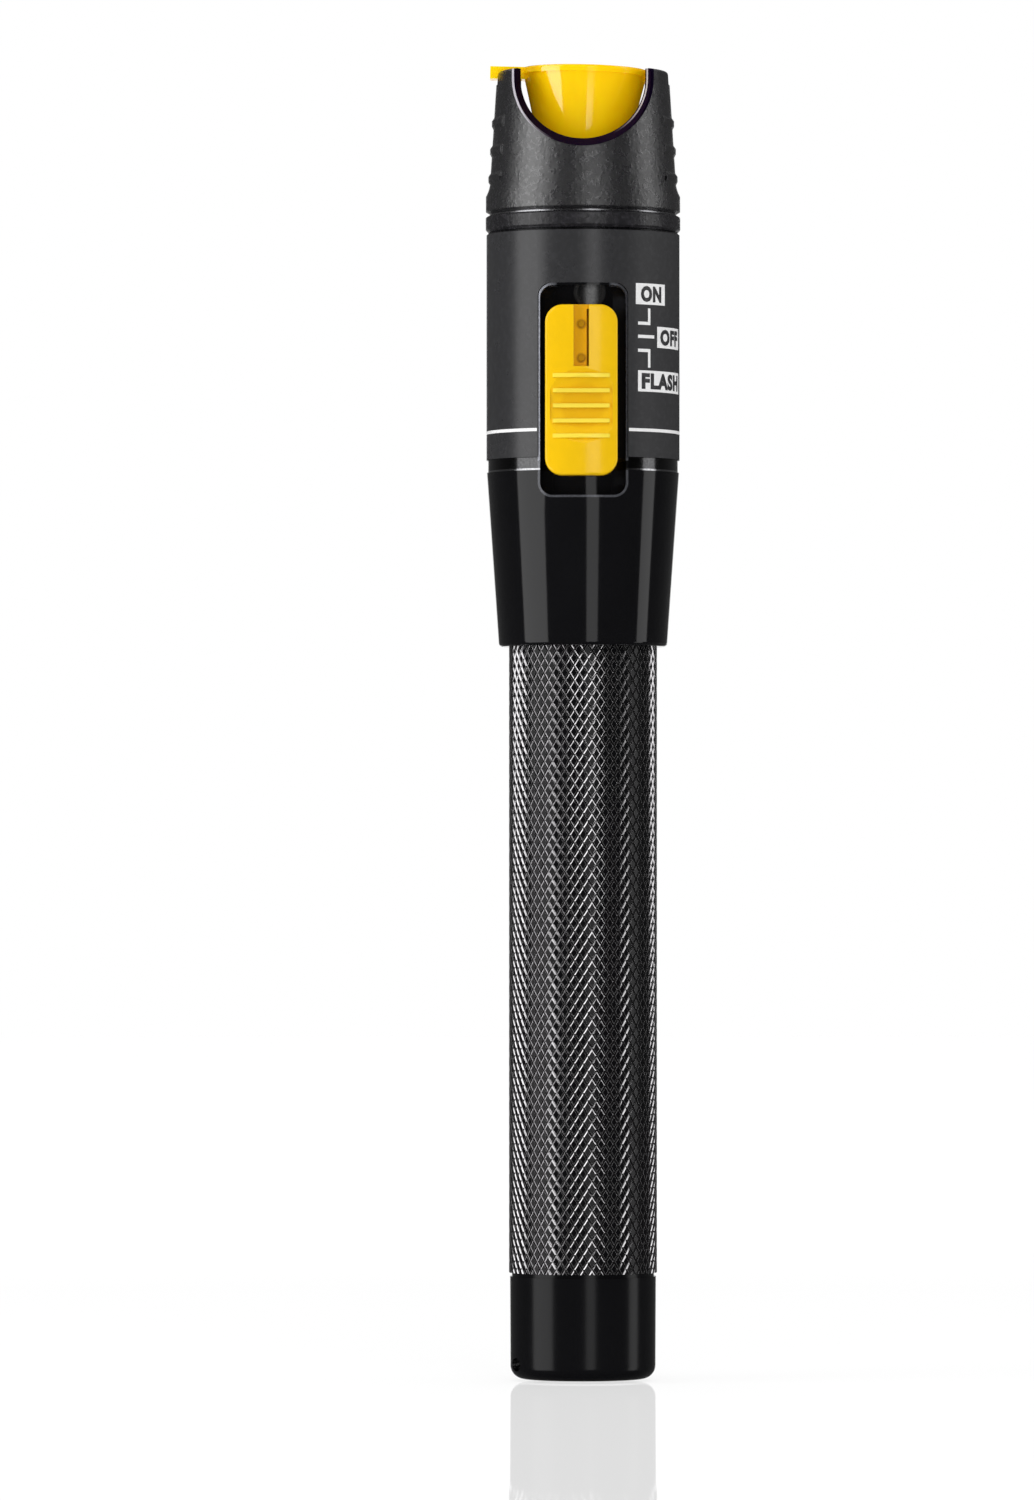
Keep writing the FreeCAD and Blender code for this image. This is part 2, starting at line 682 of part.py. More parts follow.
def front_body():
    """Turned body: taper, shallow groove, seat of the label, and the collar for ring and head.

    The recess of the switch ends on a round sleeve, slotted for the switch's actuator."""
    body = turned("front_body", [
        ("neck_radius", "body_foot"), ("body_foot_radius", "body_foot"),
        ("taper_radius", "groove_foot"), ("groove_radius", "groove_foot"),
        ("groove_radius", "seat_foot"), ("seat_radius", "seat_foot"),
        ("seat_radius", "label_head"), ("label_radius", "label_head"),
        ("label_radius - ring_bevel", "body_head"), ("collar_radius", "body_head"),
        ("collar_radius", "collar_head"), ("main_bore", "collar_head"),
        ("main_bore", "flange_foot"), ("stop_bore", "flange_foot"),
        ("stop_bore", "chassis_head"), ("main_bore", "chassis_head"),
        ("main_bore", "tube_head"), ("neck_radius", "tube_head"),
    ])
    fillet(body, "body_foot_edge", hoop("body_foot_radius", "body_foot"))
    recess = sketch_on(body, "XZ_Plane", "stop_bore")
    rounded_box(recess, "-recess_width / 2", "recess_width / 2", "recess_low", "recess_high",
                "recess_corner")
    pocket(body, recess, "label_radius", outward=True)
    sleeve = sketch_on(body, "XZ_Plane")
    box(sleeve, "main_bore", "recess_floor", "recess_low - recess_corner",
        "recess_high + recess_corner")
    spin(body, sleeve)
    slot = sketch_on(body, "XZ_Plane", "recess_floor")
    box(slot, "-switch_shift - lever_width / 2 - lever_play",
        "-switch_shift + lever_width / 2 + lever_play",
        "switch_height - slot_half", "switch_height + slot_half")
    pocket(body, slot, "recess_floor")


def label():
    """Film wrapped round the body, with a window that leaves the recess's edge bare."""
    body = turned("label", [
        ("seat_radius", "label_foot"), ("label_radius", "label_foot"),
        ("label_radius", "label_head"), ("seat_radius", "label_head"),
    ])
    window = sketch_on(body, "XZ_Plane", "recess_floor")
    rounded_box(window, "-recess_width / 2 - recess_edge", "recess_width / 2 + recess_edge",
                "recess_low", "recess_high + recess_edge", "recess_corner")
    pocket(body, window, "label_radius", outward=True)


def lock_ring():
    """Smooth ring on the collar: bevelled below, and sloped above to meet the head in a groove."""
    body = turned("lock_ring", [
        ("collar_radius", "body_head"), ("ring_radius - ring_bevel", "body_head"),
        ("ring_radius", "body_head + ring_bevel"), ("ring_radius", "ring_head - vee_width"),
        ("vee_floor", "ring_head"), ("collar_radius", "ring_head"),
    ])
    shoulders = (hoop("ring_radius", "body_head + ring_bevel"),
                 hoop("ring_radius", "ring_head - vee_width"))
    fillet(body, "ring_edge", lambda edge: any(test(edge) for test in shoulders))


# ---------------------------------------------------------------- slide switch

def switch_button():
    """Crowned slider with a thumb hollow, ribs that follow the hollow, and a pipped groove."""
    body = new_body("switch_button")
    left = "-switch_shift - button_width / 2"
    right = "-switch_shift + button_width / 2"
    plan = sketch_on(body, "XZ_Plane", "stop_bore")
    rounded_box(plan, left, right, "button_low", "button_high", "button_corner")
    pad(body, plan, "button_crown")
    crown = sketch_on(body, "XY_Plane", "button_low")
    circle(crown, "0", "0", "button_crown")
    circle(crown, "0", "0", "3 * button_crown")
    pocket(body, crown, "button_length", outward=True)
    sole = sketch_on(body, "XY_Plane", "button_low")
    pocket(body, circle(sole, "0", "0", "button_foot"), "button_length", outward=True)
    fillet(body, "button_edge", on_crown)
    scoop(body, "scoop_radius")
    ribs(body)
    scoop(body, "scoop_radius - rib_rise")
    slot(body)
    pips(body)
    socket = sketch_on(body, "XZ_Plane", "stop_bore")
    box(socket, "-switch_shift - lever_width / 2", "-switch_shift + lever_width / 2",
        "switch_height - lever_height / 2", "switch_height + lever_height / 2")
    pocket(body, socket, "lever_top - stop_bore", outward=True)


def on_crown(edge):
    """Test for the edges where the slider's crown meets its sides."""
    return all(near(radius_of(edge.valueAt(edge.FirstParameter + share * edge_span(edge))),
                    "button_crown") for share in (0.1, 0.5, 0.9))


def edge_span(edge):
    return edge.LastParameter - edge.FirstParameter


def scoop(body, radius):
    """Hollow of this radius across the slider, about one fixed centre in front of it."""
    hollow = sketch_on(body, "YZ_Plane", "-switch_shift")
    circle(hollow, "-scoop_centre", "scoop_height", radius)
    pocket(body, hollow, "scoop_width", both=True)


def ribs(body):
    """Arched bars across the hollow: the second, smaller hollow trims the tall ones."""
    bar = sketch_on(body, "YZ_Plane", turn=size("-switch_shift / rib_crown * 180 / pi"))
    box(bar, "-rib_crown", "-button_foot - lever_bite", "rib_low - rib_thick / 2",
        "rib_low + rib_thick / 2")
    first = spin(body, bar, "rib_length / rib_crown * 180 / pi")
    row = body.newObject("PartDesign::LinearPattern", "switch_button_ribs")
    row.Originals = [first]
    row.Direction = (bar, ["V_Axis"])
    bind(row, "Length", "rib_pitch * (rib_count - 1)")
    bind(row, "Occurrences", "rib_count")
    body.Tip = row
    DOC.recompute()


def slot(body):
    """Groove from the slider's upper end down its middle, with a slit beside its floor."""
    groove = sketch_on(body, "XZ_Plane", "slot_floor")
    box(groove, "-switch_shift - slot_width / 2", "-switch_shift + slot_width / 2",
        "button_high - slot_length", "button_high + slot_width")
    pocket(body, groove, "button_crown", outward=True)
    slit = sketch_on(body, "XZ_Plane", "slot_floor")
    box(slit, "-switch_shift + slot_width / 2 - slit_width", "-switch_shift + slot_width / 2",
        "button_high - slot_length", "button_high - slit_inset")
    pocket(body, slit, "slit_depth")


def pips(body):
    """Two pips on the floor of that groove."""
    dots = sketch_on(body, "XZ_Plane", "slot_floor")
    circle(dots, "-switch_shift", "button_high - pip_inset", "pip_radius")
    circle(dots, "-switch_shift", "button_high - pip_inset - pip_spacing", "pip_radius")
    pad(body, dots, "pip_rise")


def switch_case():
    """Body of the slide switch on the board, with the slot that its actuator runs in."""
    body = new_body("switch_case")
    plan = sketch_on(body, "XZ_Plane", "board_front")
    box(plan, "-switch_shift - case_width / 2", "-switch_shift + case_width / 2",
        "switch_height - case_length / 2", "switch_height + case_length / 2")
    pad(body, plan, "case_depth")
    track = sketch_on(body, "XZ_Plane", "case_front")
    box(track, "-switch_shift - lever_width / 2 - lever_play",
        "-switch_shift + lever_width / 2 + lever_play",
        "switch_height - slot_half", "switch_height + slot_half")
    pocket(body, track, "case_slot_depth")


def switch_lever():
    """Actuator from the switch's body through the recess floor into the slider."""
    lever = block("switch_lever", "lever_width", "lever_top - lever_foot", "lever_height",
                  "-switch_shift - lever_width / 2", minus("lever_top"),
                  "switch_height - lever_height / 2")
    piece(lever, "switch_lever")


# ---------------------------------------------------------------- carrier and board

def chassis():
    """Round carrier, open at the front for the board, with a collar for the laser barrel."""
    body = new_body("chassis")
    pad(body, circle(sketch_on(body, "XY_Plane", "chassis_foot"), "0", "0", "chassis_radius"),
        "chassis_length")
    window = sketch_on(body, "XZ_Plane", "board_plane")
    box(window, "-main_bore", "main_bore", "chassis_foot + chassis_plate", "window_high")
    pocket(body, window, "main_bore", outward=True)
    hollow = sketch_on(body, "XZ_Plane", "board_plane")
    box(hollow, "-pocket_width / 2", "pocket_width / 2", "pocket_low", "pocket_high")
    pocket(body, hollow, "pocket_depth")
    bore = sketch_on(body, "XY_Plane", "barrel_foot")
    pocket(body, circle(bore, "0", "0", "barrel_radius"), "barrel_length", outward=True)
    legs = sketch_on(body, "XY_Plane", "barrel_foot")
    pocket(body, circle(legs, "0", "0", "diode_can_radius"), "barrel_foot - pocket_high")
    stud = sketch_on(body, "XY_Plane", "chassis_foot")
    pocket(body, circle(stud, "0", "0", "stud_radius + lever_play"), "chassis_plate",
           outward=True)
    screws = sketch_on(body, "YZ_Plane")
    circle(screws, "0", "set_screw_height", "set_screw_radius")
    pocket(body, screws, both=True)
    holes = sketch_on(body, "XZ_Plane", "board_plane")
    for height in screw_heights():
        circle(holes, "0", height, "screw_radius")
    pocket(body, holes, "screw_length - board_thick")


def screw_heights():
    """Heights of the two board screws."""
    return "board_low + screw_inset", "board_high - screw_inset"


def circuit_board():
    """Board on the carrier's flat face, with two screw holes."""
    body = new_body("circuit_board")
    plan = sketch_on(body, "XZ_Plane", "board_plane")
    box(plan, "-board_width / 2", "board_width / 2", "board_low", "board_high")
    for height in screw_heights():
        circle(plan, "0", height, "screw_radius")
    pad(body, plan, "board_thick")


def board_screws():
    """Two screws that hold the board on the carrier."""
    screws = []
    for number, height in enumerate(screw_heights(), 1):
        shank = cylinder("shank_%d" % number, "screw_radius", "screw_length", "0",
                         minus("board_front"), height, (0, 1, 0))
        top = cylinder("screw_head_%d" % number, "screw_head_radius", "screw_head_height",
                       "0", minus("board_front"), height, (0, -1, 0))
        screws.append(fused("board_screw_%d" % number, shank, top))
    group("board_screws", screws)


def driver_chip():
    """Chip on the back of the board, inside the carrier's hollow."""
    chip = block("driver_chip", "chip_width", "chip_height", "chip_width",
                 "-chip_width / 2", minus("board_plane"), "pocket_low + chip_rise")
    piece(chip, "driver_chip")


def board_parts():
    """Capacitor and a row of three resistors on the back of the board."""
    parts = [cylinder("capacitor", "capacitor_radius", "capacitor_height", "-chip_width / 2",
                      minus("board_plane"), "pocket_low + capacitor_rise", (0, 1, 0))]
    for number in range(3):
        rise = "pocket_low + capacitor_rise + resistor_pitch * %d" % number
        parts.append(block("resistor_%d" % number, "resistor_length", "resistor_height",
                           "resistor_width", "resistor_offset - resistor_length / 2",
                           minus("board_plane"), rise))
    group("board_parts", parts)


# ---------------------------------------------------------------- laser and port

def laser_barrel():
    """Brass barrel: bore for the diode, bore for the lens, and a small hole for the beam."""
    turned("laser_barrel", [
        ("diode_radius", "barrel_foot"), ("barrel_radius", "barrel_foot"),
        ("barrel_radius", "flange_foot"), ("aperture_radius", "flange_foot"),
        ("aperture_radius", "lens_top"), ("lens_radius", "lens_top"),
        ("lens_radius", "barrel_foot + diode_seat"),
        ("diode_radius", "barrel_foot + diode_seat"),
    ])


def laser_diode():
    """Diode in a round can on a flange, with three legs."""
    can_top = "barrel_foot + diode_flange + diode_can_height"
    body = turned("laser_diode", [
        ("0", "barrel_foot"), ("diode_radius", "barrel_foot"),
        ("diode_radius", "barrel_foot + diode_flange"),
        ("diode_can_radius", "barrel_foot + diode_flange"), ("diode_can_radius", can_top),
        ("0", can_top),
    ])
    legs = sketch_on(body, "XY_Plane", "barrel_foot - diode_leg_length")
    circle(legs, "0", "diode_leg_circle", "diode_leg_radius")
    circle(legs, "diode_leg_circle", "0", "diode_leg_radius")
    circle(legs, "-diode_leg_circle", "0", "diode_leg_radius")
    pad(body, legs, "diode_leg_length")


def laser_lens():
    """Plano-convex lens: a disc cut by a ball."""
    disc = cylinder("lens_disc", "lens_radius", "lens_thick", z="lens_top - lens_thick")
    ball = DOC.addObject("Part::Sphere", "lens_ball")
    bind(ball, "Radius", "lens_curve")
    place(ball, "0", "0", "lens_top - lens_thick + lens_curve")
    lens = DOC.addObject("Part::Common", "laser_lens")
    lens.Base = disc
    lens.Tool = ball
    piece(lens, "laser_lens")


def laser_set_screws():
    """Two grub screws through the carrier's collar against the barrel."""
    length = "chassis_radius - set_screw_sink - barrel_radius"
    screws = [cylinder("set_screw_right", "set_screw_radius", length, "barrel_radius", "0",
                       "set_screw_height", (1, 0, 0)),
              cylinder("set_screw_left", "set_screw_radius", length, "-barrel_radius", "0",
                       "set_screw_height", (-1, 0, 0))]
    group("laser_set_screws", screws)


def ferrule_holder():
    """Flange on the body's inner shoulder and the post of the port, with a lip at its mouth."""
    turned("ferrule_holder", [
        ("sleeve_outer", "flange_foot"), ("flange_radius", "flange_foot"),
        ("flange_radius", "flange_head"), ("post_radius", "flange_head"),
        ("post_radius", "port_top"), ("lip_radius", "port_top"), ("lip_radius", "sleeve_top"),
        ("sleeve_outer", "sleeve_top"),
    ])


def ceramic_sleeve():
    """Split sleeve that takes a 2.5 mm ferrule."""
    body = turned("ceramic_sleeve", [
        ("sleeve_bore", "sleeve_foot"), ("sleeve_outer", "sleeve_foot"),
        ("sleeve_outer", "sleeve_top"), ("sleeve_bore", "sleeve_top"),
    ])
    slit = sketch_on(body, "XZ_Plane")
    box(slit, "-sleeve_slit / 2", "sleeve_slit / 2", "sleeve_foot - sleeve_gap",
        "sleeve_top + sleeve_gap")
    pocket(body, slit, "post_radius")


# ---------------------------------------------------------------- head and cap

def head():
    """Moulded head: base band, hollow sweep, cone with grip ribs, and two ears.

    A U cut with a flared edge opens the mouth at the front and the back. A notch through both
    ears takes the cap's tab and knuckle, and the right ear is drilled for the hinge pin."""
    steps = int(size("base_steps"))
    slope = []
    for step in range(steps):
        slope.append((
            "cone_foot_radius + (base_radius - cone_foot_radius) * (1 - %d / %d) ^ 2" % (step, steps),
            "base_head + base_slope * %d / %d" % (step, steps)))
    body = turned("head", [
        ("collar_radius", "ring_head"), ("vee_floor", "ring_head"),
        ("base_radius", "ring_head + vee_width"), *slope,
        ("cone_foot_radius", "cone_foot"), ("head_top_radius", "head_top"),
        ("mouth_radius", "head_top"), ("mouth_radius", "mouth_floor"),
        ("post_radius", "mouth_floor"), ("post_radius", "web_foot"),
        ("collar_radius", "web_foot"),
    ])
    u_cut(body)
    fillet(body, "ear_edge", hoop("head_top_radius", "head_top"))
    fillet(body, "ear_inner_edge", hoop("mouth_radius", "head_top"))
    notch = sketch_on(body, "YZ_Plane")
    box(notch, "-arm_width / 2 - arm_play", "arm_width / 2 + arm_play", "notch_floor",
        "head_top + arm_play")
    pocket(body, notch, both=True)
    drill = sketch_on(body, "XZ_Plane", "pin_front")
    pocket(body, circle(drill, "hinge_reach", "hinge_height", "pin_radius"))
    grips(body)


def u_cut(body):
    """U cut through front and back, bevelled wide where it leaves the outside."""
    arch = sketch_on(body, "XZ_Plane")
    pocket(body, circle(arch, "0", "cut_centre", "cut_radius"), both=True)
    gate = sketch_on(body, "XZ_Plane")
    box(gate, "-cut_radius", "cut_radius", "cut_centre", "head_top + cut_drop")
    pocket(body, gate, both=True)
    chamfer(body, "flare_wall", "flare_face", on_outer_cut)


def on_outer_cut(edge):
    """Test for the edges that the U cut leaves on the outside of the cone."""
    spot = middle(edge)
    low, high = edge.BoundBox.ZMin, edge.BoundBox.ZMax
    outside = radius_of(spot) > size("(mouth_radius + head_top_radius) / 2")
    seam = abs(spot.y) < size("arm_width / 2")
    return outside and not seam and high - low > SHORT and low > size("cone_foot")


def grips(body):
    """Low arched ribs on the left and right of the cone."""
    section = sketch_on(body, "XZ_Plane")
    for number in range(int(size("grip_count"))):
        middle_height = "ring_head + grip_height + grip_pitch * %d" % number
        wall = "cone_foot_radius - cone_slope * (%s - cone_foot)" % middle_height
        low = middle_height + " - grip_width / 2"
        high = middle_height + " + grip_width / 2"
        outline(section, [
            (wall + " - grip_width", low), (wall, low),
            (wall + " + grip_rise", middle_height + " - grip_flat / 2"),
            (wall + " + grip_rise", middle_height + " + grip_flat / 2"),
            (wall + " - grip_sink", high), (wall + " - grip_width", high),
        ])
    first = spin(body, section, "grip_sweep")
    pair = body.newObject("PartDesign::PolarPattern", "head_grips")
    pair.Originals = [first]
    pair.Axis = (section, ["V_Axis"])
    pair.Angle = 360
    pair.Occurrences = 2
    body.Tip = pair
    DOC.recompute()


def dust_cap():
    """Lid with a hollow bowl, a thumb tab on the left and a knuckle on the right.

    It is drawn closed about the bowl's own axis, then moved to the hinge and left ajar."""
    cup_top = "lid_top - lid_plate"
    body = turned("dust_cap", [
        ("0", "lid_top"), ("0", cup_top), ("bowl_radius - bowl_wall", cup_top),
        ("bowl_foot_radius - bowl_wall", "bowl_foot"), ("bowl_foot_radius", "bowl_foot"),
        ("bowl_radius", "lid_top - lid_rim"), ("lid_radius", "lid_top - lid_rim"),
        ("lid_radius", "lid_top"),
    ])
    fillet(body, "lid_edge", hoop("lid_radius", "lid_top"))
    fillet(body, "bowl_edge", hoop("bowl_foot_radius", "bowl_foot"))
    tab = sketch_on(body, "XZ_Plane")
    box(tab, "-tab_reach - cap_shift", "-bowl_radius + bowl_wall / 2", "lid_foot", "lid_top")
    pad(body, tab, "arm_width", both=True)
    arm = sketch_on(body, "XZ_Plane")
    box(arm, "bowl_radius - bowl_wall / 2", "hinge_reach - cap_shift", "lid_foot", "lid_top")
    pad(body, arm, "arm_width", both=True)
    knuckle = sketch_on(body, "XZ_Plane")
    circle(knuckle, "hinge_reach - cap_shift", "hinge_height", "lid_thick / 2")
    pad(body, knuckle, "arm_width", both=True)
    bore = sketch_on(body, "XZ_Plane")
    circle(bore, "hinge_reach - cap_shift", "hinge_height", "pin_radius + pin_play")
    pocket(body, bore, both=True)
    shift = FreeCAD.Vector(size("cap_shift"), 0, 0)
    hinge = FreeCAD.Vector(size("hinge_reach"), 0, size("hinge_height"))
    lift = FreeCAD.Rotation(FreeCAD.Vector(0, 1, 0), size("cap_lift"))
    ajar = FreeCAD.Placement(hinge - lift.multVec(hinge), lift)
    body.Placement = ajar.multiply(FreeCAD.Placement(shift, FreeCAD.Rotation()))


def hinge_pin():
    """Pin across the right ear."""
    shaft = cylinder("hinge_pin", "pin_radius", "pin_front + pin_back", "hinge_reach",
                     minus("pin_front"), "hinge_height", (0, 1, 0))
    piece(shaft, "hinge_pin")


# ---------------------------------------------------------------- whole

def check():
    """Stop if any object failed, or any piece has no valid solid."""
    for thing in DOC.Objects:
        if "Invalid" in thing.State or "Error" in thing.State:
            raise RuntimeError(thing.Name + " failed: " + str(thing.State))
    for made in PIECES:
        if made.Shape.isNull() or not made.Shape.isValid() or not made.Shape.Solids:
            raise RuntimeError(made.Label + " has no valid solid")


def main():
    fill_sheet()
    tail_cap()
    tail_o_ring()
    tail_spring()
    battery("battery_rear", "rear_cell_foot")
    battery("battery_front", "front_cell_foot")
    front_contact()
    contact_holder()
    battery_tube()
    front_body()
    label()
    lock_ring()
    switch_button()
    switch_case()
    switch_lever()
    chassis()
    circuit_board()
    board_screws()
    driver_chip()
    board_parts()
    laser_barrel()
    laser_diode()
    laser_lens()
    laser_set_screws()
    ferrule_holder()
    ceramic_sleeve()
    head()
    dust_cap()
    hinge_pin()
    DOC.recompute()
    check()
    os.makedirs("parts", exist_ok=True)
    for made in PIECES:
        made.Shape.exportStep("parts/" + made.Label + ".step")
        print(made.Label, len(made.Shape.Solids), round(made.Shape.Volume, 2))


main()
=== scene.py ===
"""Finish of a pen-type visual fault locator: knurled tube, printed label, and the studio."""

import json
import math

import bmesh
import bpy
from mathutils import Matrix, Vector


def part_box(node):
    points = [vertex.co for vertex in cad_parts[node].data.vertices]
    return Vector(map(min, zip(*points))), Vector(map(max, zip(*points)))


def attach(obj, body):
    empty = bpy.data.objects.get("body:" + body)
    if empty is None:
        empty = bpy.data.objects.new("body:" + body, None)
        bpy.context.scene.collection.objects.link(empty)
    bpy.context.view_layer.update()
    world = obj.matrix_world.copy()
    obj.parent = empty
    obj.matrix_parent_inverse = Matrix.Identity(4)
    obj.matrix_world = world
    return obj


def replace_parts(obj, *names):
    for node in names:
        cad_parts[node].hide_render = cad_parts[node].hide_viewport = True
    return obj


bl_info = {
    "name": "Fault locator pen",
    "version": (1, 0, 0),
    "blender": (4, 5, 0),
    "location": "View3D > Sidebar > Pen",
    "description": "Finishes a fault locator pen and sets it in a studio",
    "category": "Object",
}

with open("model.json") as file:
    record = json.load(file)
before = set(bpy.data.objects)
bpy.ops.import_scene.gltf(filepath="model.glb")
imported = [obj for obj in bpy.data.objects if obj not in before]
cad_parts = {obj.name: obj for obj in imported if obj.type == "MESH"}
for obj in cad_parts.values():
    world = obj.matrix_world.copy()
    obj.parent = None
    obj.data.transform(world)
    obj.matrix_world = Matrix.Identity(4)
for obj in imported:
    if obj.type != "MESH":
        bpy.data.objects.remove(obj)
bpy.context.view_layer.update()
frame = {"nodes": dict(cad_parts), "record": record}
MM = 0.001


def low(node):
    """Lowest corner of a node, in metres."""
    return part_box(node)[0]


def high(node):
    """Highest corner of a node, in metres."""
    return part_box(node)[1]


# ---------------------------------------------------------------- settings

def length_setting(name, description, default):
    """Property that holds a length in metres."""
    return bpy.props.FloatProperty(
        name=name, description=description, default=default, subtype="DISTANCE", unit="LENGTH")


def colour_setting(name, description, default):
    """Property that holds a colour."""
    return bpy.props.FloatVectorProperty(
        name=name, description=description, default=default, subtype="COLOR", size=3)


class PenKnurl(bpy.types.PropertyGroup):
    """Sizes of the knurled tube."""
    starts: bpy.props.IntProperty(
        name="Starts", description="Grooves of each hand round the tube", default=51)
    rows: bpy.props.IntProperty(
        name="Rows", description="Half pitches of the pattern along the tube", default=86)
    depth: length_setting("Depth", "Depth of the grooves", 0.135 * MM)
    land: bpy.props.FloatProperty(
        name="Land", description="Flat top of a diamond, as a share of the diamond",
        default=0.6, subtype="FACTOR")
    neck: length_setting("Neck", "Radius of the front neck", 9.2 * MM)
    bore: length_setting("Bore", "Radius of the bore for the cells", 7.5 * MM)
    tail_bore: length_setting("Tail bore", "Radius of the wider bore at the tail", 8.8 * MM)
    tail_bore_depth: length_setting(
        "Tail bore depth", "Depth of the wider bore at the tail", 8.5 * MM)


class PenLabel(bpy.types.PropertyGroup):
    """Sizes of what is printed on the label."""
    ink: length_setting("Ink", "Thickness of the print", 0.02 * MM)
    line: length_setting("Line", "Width of a printed line", 0.42 * MM)
    stripe: length_setting(
        "Stripe", "Height of the stripe above the label's lower edge", 3.6 * MM)
    letter: length_setting("Letter", "Height of the switch marks' letters", 2.15 * MM)
    tag: length_setting("Tag", "Height of the white box round a switch mark", 2.8 * MM)


class PenColours(bpy.types.PropertyGroup):
    """Colours of the finishes."""
    cap: colour_setting("Cap", "Yellow of the dust cap", (0.96, 0.63, 0.004))
    slider: colour_setting("Slider", "Yellow of the slider", (0.95, 0.57, 0.004))
    # The deep colour is painted shade in the slider's slot and hollow.
    deep: colour_setting("Deep", "Yellow in the slider's slot and hollow", (0.74, 0.36, 0.0))
    head: colour_setting("Head", "Black of the moulded head", (0.011, 0.0105, 0.012))
    # The flare colour is painted shade on the bevel of the head's U cut.
    flare_shade: colour_setting("Flare", "Dark bevel of the head's U cut", (0.03, 0.011, 0.07))
    gloss: colour_setting("Gloss", "Black of the glossy metal", (0.0035, 0.0035, 0.004))
    knurl: colour_setting("Knurl", "Metal of the knurl", (0.5, 0.49, 0.5))
    label: colour_setting("Label", "Ground of the label", (0.031, 0.031, 0.033))
    print_white: colour_setting("Print", "White of the print", (0.95, 0.95, 0.95))


class PenStage(bpy.types.PropertyGroup):
    """Sizes of the stage."""
    distance: length_setting("Distance", "Camera from the pen's axis", 1.25)
    eye: length_setting("Eye", "Height of the camera", 65 * MM)
    lens: bpy.props.FloatProperty(
        name="Lens", description="Focal length in millimetres", default=224.4)
    shift_x: bpy.props.FloatProperty(
        name="Shift X", description="Sideways shift of the lens", default=-0.044)
    shift_y: bpy.props.FloatProperty(
        name="Shift Y", description="Upward shift of the lens", default=0.0948)


# ---------------------------------------------------------------- nodes

def feed(tree, value, socket):
    """Link another socket to a socket, or set it to a plain value."""
    if isinstance(value, bpy.types.NodeSocket):
        tree.links.new(value, socket)
    else:
        socket.default_value = value


def maths(tree, operation, first, second=0.0, clamp=False):
    """Math node on two values or sockets; returns its output."""
    node = tree.nodes.new("ShaderNodeMath")
    node.operation = operation
    node.use_clamp = clamp
    feed(tree, first, node.inputs[0])
    feed(tree, second, node.inputs[1])
    return node.outputs[0]


def plus(tree, first, second, clamp=False):
    return maths(tree, "ADD", first, second, clamp)


def minus(tree, first, second, clamp=False):
    return maths(tree, "SUBTRACT", first, second, clamp)


def times(tree, first, second, clamp=False):
    return maths(tree, "MULTIPLY", first, second, clamp)


def between(tree, value, least, most):
    """1 where a value lies between two others."""
    return times(tree, maths(tree, "GREATER_THAN", value, least),
                 maths(tree, "LESS_THAN", value, most))


def object_point(tree, scale=(1, 1, 1)):
    """Object coordinates through a Mapping node."""
    place = tree.nodes.new("ShaderNodeTexCoord")
    mapping = tree.nodes.new("ShaderNodeMapping")
    mapping.inputs["Scale"].default_value = scale
    tree.links.new(place.outputs["Object"], mapping.inputs["Vector"])
    return mapping.outputs["Vector"]


def axes(tree):
    """X, Y and Z of the object coordinates."""
    split = tree.nodes.new("ShaderNodeSeparateXYZ")
    tree.links.new(object_point(tree), split.inputs[0])
    return split.outputs


def reach_of(tree, point):
    """Length of a vector socket."""
    node = tree.nodes.new("ShaderNodeVectorMath")
    node.operation = "LENGTH"
    tree.links.new(point, node.inputs[0])
    return node.outputs["Value"]


def radius_of(tree):
    """Distance from the pen's axis."""
    return reach_of(tree, object_point(tree, (1, 1, 0)))


def noise(tree, point, scale, detail=3.0):
    """Noise texture; returns its value."""
    node = tree.nodes.new("ShaderNodeTexNoise")
    node.inputs["Detail"].default_value = detail
    node.inputs["Roughness"].default_value = 0.6
    feed(tree, scale, node.inputs["Scale"])
    tree.links.new(point, node.inputs["Vector"])
    return node.outputs["Fac"]


def spread(tree, value, centre, width):
    """Stretch a 0 to 1 value so that centre +- width covers the whole range."""
    remap = tree.nodes.new("ShaderNodeMapRange")
    remap.inputs["From Min"].default_value = centre - width
    remap.inputs["From Max"].default_value = centre + width
    tree.links.new(value, remap.inputs["Value"])
    return remap.outputs["Result"]


def blend(tree, factor, first, second, kind="RGBA"):
    """Mix of two colours, vectors or values, each plain or a socket, by a factor socket."""
    mix = tree.nodes.new("ShaderNodeMix")
    mix.data_type = kind
    sockets = {socket.name: socket for socket in mix.inputs if socket.enabled}
    for title, given in (("A", first), ("B", second)):
        feed(tree, (*given, 1.0) if isinstance(given, tuple) else given, sockets[title])
    tree.links.new(factor, sockets["Factor"])
    return next(socket for socket in mix.outputs if socket.enabled)


# ---------------------------------------------------------------- shader groups

def node_group(name, inputs, *outputs):
    """Empty shader group; returns it with the sockets that it is given and those that it gives.

    Inputs maps names to defaults, each a value or a point. Outputs are names of values."""
    group = bpy.data.node_groups.new(name, "ShaderNodeTree")
    for title, value in inputs.items():
        kind = "NodeSocketVector" if isinstance(value, tuple) else "NodeSocketFloat"
        group.interface.new_socket(title, in_out="INPUT", socket_type=kind).default_value = value
    for title in outputs:
        group.interface.new_socket(title, in_out="OUTPUT", socket_type="NodeSocketFloat")
    start, end = group.nodes.new("NodeGroupInput"), group.nodes.new("NodeGroupOutput")
    return group, start.outputs, end.inputs


def closed(group, gives, **results):
    """The group, once its results are linked to the sockets of the same names."""
    for title, result in results.items():
        group.links.new(result, gives[title])
    return group


